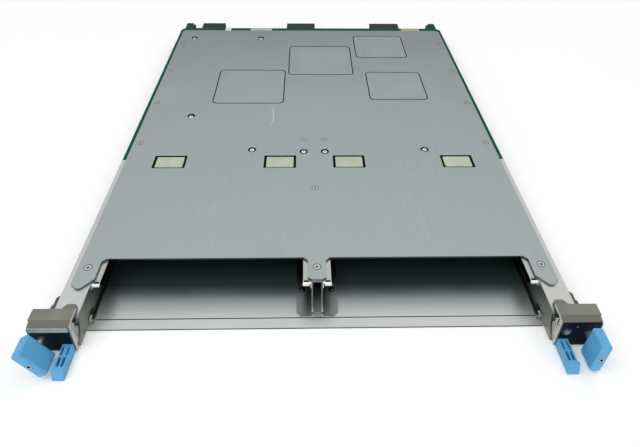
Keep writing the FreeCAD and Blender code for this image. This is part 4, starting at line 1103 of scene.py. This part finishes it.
# %% Blade pairs by Geometry Nodes
def blade_tree():
    tree, given, result = new_tree("blade_pairs_on_points", {
        "Float": ("Thickness", "Length", "Height", "Gap"), "Material": ("Finish",)})
    blade = box(tree, vector(tree, given["Thickness"], given["Length"], given["Height"]))
    offsets = [vector(tree, calculated(tree, "MULTIPLY", given["Gap"], side)) for side in (-0.5, 0.5)]
    pair = joined(tree, *(moved(tree, blade, offset) for offset in offsets))
    real = add(tree, "GeometryNodeRealizeInstances", {"Geometry": on_points(tree, given["Geometry"], pair)})
    put(tree, result["Geometry"], painted(tree, real, given["Finish"]))
    return tree


blade_pairs = blade_tree()
print("blade tree has", len(blade_pairs.nodes), "nodes")

# %% [markdown]
# ## Fill the cells
# The cells' pitch and depth are the connector's own. Their middles are found from its box, and
# all three connectors' contacts become one piece.

# %% Contacts on the cells' middles
CONTACT_PITCH = 7.2 * MM
CONTACT_ROWS = 3
END_WALLS = 2.0 * MM
CELL_DEPTH = 3.0 * MM
blade_sizes = {"Thickness": 0.35 * MM, "Length": CELL_DEPTH - 0.3 * MM, "Height": 2.6 * MM, "Gap": 1.5 * MM}
cells = []
for node in sorted(node for node in frame["nodes"] if node.startswith("rear_connector")):
    low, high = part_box(node)
    columns = int((high.x - low.x - END_WALLS) // CONTACT_PITCH)
    for column in range(columns):
        x = middle(low, high)[0] + (column - (columns - 1) / 2) * CONTACT_PITCH
        for row in range(CONTACT_ROWS):
            z = low.z + (row + 0.5) * (high.z - low.z) / CONTACT_ROWS
            cells.append((x, high.y - CELL_DEPTH / 2, z))
cell_mesh = bpy.data.meshes.new("contact_points")
cell_mesh.from_pydata(cells, [], [])
contacts = run_tree("rear_connector_contacts", cell_mesh, blade_pairs, {**blade_sizes, "Finish": gold})
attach(contacts, "card")
print(len(cells), "cells,", len(contacts.data.polygons), "faces")

# %% [markdown]
# ## Small parts on the rear strip
# Between the stickers, the strip of board behind the cover carries rows of small dark chip
# parts with bright ends. A seeded random choice leaves some places empty and varies the
# lengths, as a real layout does.


# %% Chip parts
CHIP_ROWS = ((-122 * MM, -96.5 * MM), (-59.5 * MM, -37.5 * MM), (52 * MM, 78 * MM))
CHIP_PITCH = 2.6 * MM
CHIP_WIDTH = 1.0 * MM
CHIP_HEIGHT = 0.7 * MM
CHIP_END = 0.25 * MM
EMPTY_SHARE = 0.2


def block(work, x0, x1, y0, y1, z0, z1):
    """Closed box in an open bmesh."""
    corner = [[[work.verts.new((x, y, z)) for z in (z0, z1)] for y in (y0, y1)] for x in (x0, x1)]
    (a, b), (c, d) = corner
    for ring in ((a[0], c[0], d[0], b[0]), (a[1], b[1], d[1], c[1]), (a[0], b[0], b[1], a[1]),
                 (c[0], c[1], d[1], d[0]), (a[0], a[1], c[1], c[0]), (b[0], d[0], d[1], b[1])):
        work.faces.new(ring)


chip_bodies, chip_ends = bmesh.new(), bmesh.new()
chance = random.Random(7)
floor = board_top + LIFT
chips = 0
for start, end in CHIP_ROWS:
    x = start
    while x < end:
        half = chance.uniform(1.2, 2.0) * MM / 2
        y = (strip_front + strip_rear) / 2 + chance.uniform(-0.6, 0.6) * MM
        x += CHIP_PITCH
        if chance.random() < EMPTY_SHARE:
            continue
        across = (y - CHIP_WIDTH / 2, y + CHIP_WIDTH / 2, floor)
        block(chip_bodies, x - half + CHIP_END, x + half - CHIP_END, *across, floor + CHIP_HEIGHT)
        for end_x in (x - half, x + half - CHIP_END):
            block(chip_ends, end_x, end_x + CHIP_END, *across, floor + CHIP_HEIGHT + LIFT)
        chips += 1
for work, name, material, slot in ((chip_bodies, "chip_bodies", chip_black_and_painted_shade, "black_plastic"),
                                   (chip_ends, "chip_ends", bright_zinc, "bright_fastener")):
    piece = finished(work, name, material)
    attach(piece, "card")
print(chips, "chip parts")

# %% [markdown]
# ## Table and lamps
# A wide pale table, with three broad soft lamps. The table glows a little for the camera alone,
# so it stays pale without lighting the card from below.


# %% Table and lamps
TABLE_REACH = 4.0
TABLE_GLOW = 0.14
floor_mesh = bpy.data.meshes.new("table_top")
floor_corners = [(x * TABLE_REACH, y * TABLE_REACH, 0) for x, y in ((-1, -1), (1, -1), (1, 1), (-1, 1))]
floor_mesh.from_pydata(floor_corners, [], [(0, 1, 2, 3)])
table_top = bpy.data.objects.new("table_top", floor_mesh)
scene.collection.objects.link(table_top)
table_paint = finish("table_paint", {"Roughness": 0.6, "Emission Color": WHITE})
mottling = noise(table_paint, 3.0)
wire(table_paint, tones(table_paint, mottling, (0.90, 0.91, 0.90), (0.93, 0.94, 0.93)), "Base Color")
to_camera = add(table_paint.node_tree, "ShaderNodeLightPath", {}, "Is Camera Ray")
wire(table_paint, calculated(table_paint.node_tree, "MULTIPLY", to_camera, TABLE_GLOW), "Emission Strength")
floor_mesh.materials.append(table_paint)


def lamp(name, place, aim_at, size, power):
    data = bpy.data.lights.new(name, "AREA")
    data.shape = "DISK"
    data.size = size
    data.energy = power
    thing = bpy.data.objects.new(name, data)
    thing.location = place
    thing.rotation_euler = (Vector(aim_at) - Vector(place)).to_track_quat("-Z", "Y").to_euler()
    thing.visible_glossy = False
    scene.collection.objects.link(thing)


lamp("key_lamp", (-0.9, -0.6, 1.9), (0, 0.05, 0), 1.6, 18.0)
lamp("fill_lamp", (1.1, 0.9, 1.8), (0, 0.05, 0), 1.8, 10.0)
lamp("front_lamp", (0.1, -2.0, 0.8), (0, -0.2, 0), 1.6, 10.0)

# %% [markdown]
# ## A white room
# The world is white to the camera and in reflections, so bright metal shows a white room, and
# dimmer as a light, so that colours render about as they are written. In reflections it is
# greyer near the horizon, as the walls of a room are, which gives flat metal a soft change of
# tone.

# %% The world
AMBIENT = 0.5
CEILING = (0.93, 0.945, 0.935)
world = bpy.data.worlds.new("white_room")
scene.world = world
world.use_nodes = True
room = world.node_tree
room.nodes.clear()
rays = add(room, "ShaderNodeLightPath", {}).node.outputs
seen = rays["Is Camera Ray"]
for kind in ("Is Glossy Ray", "Is Transmission Ray"):
    seen = calculated(room, "MAXIMUM", seen, rays[kind])
walls = ramp(world, coordinate(room, "Generated", "Z"), [
    (0.0, (0.95, 0.96, 0.955)), (0.10, (0.40, 0.40, 0.40)), (0.38, (0.52, 0.52, 0.52)), (0.60, WHITE),
    (0.7, WHITE)])
shown = mixed(world, rays["Is Glossy Ray"], CEILING, walls)
ambient = add(room, "ShaderNodeBackground", {"Color": WHITE, "Strength": AMBIENT})
bright = add(room, "ShaderNodeBackground", {"Color": shown, "Strength": 1.0})
surface = add(room, "ShaderNodeMixShader", {"Fac": seen, 1: ambient, 2: bright})
put(room, room.nodes.new("ShaderNodeOutputWorld").inputs["Surface"], surface)
print("world has", len(room.nodes), "nodes")
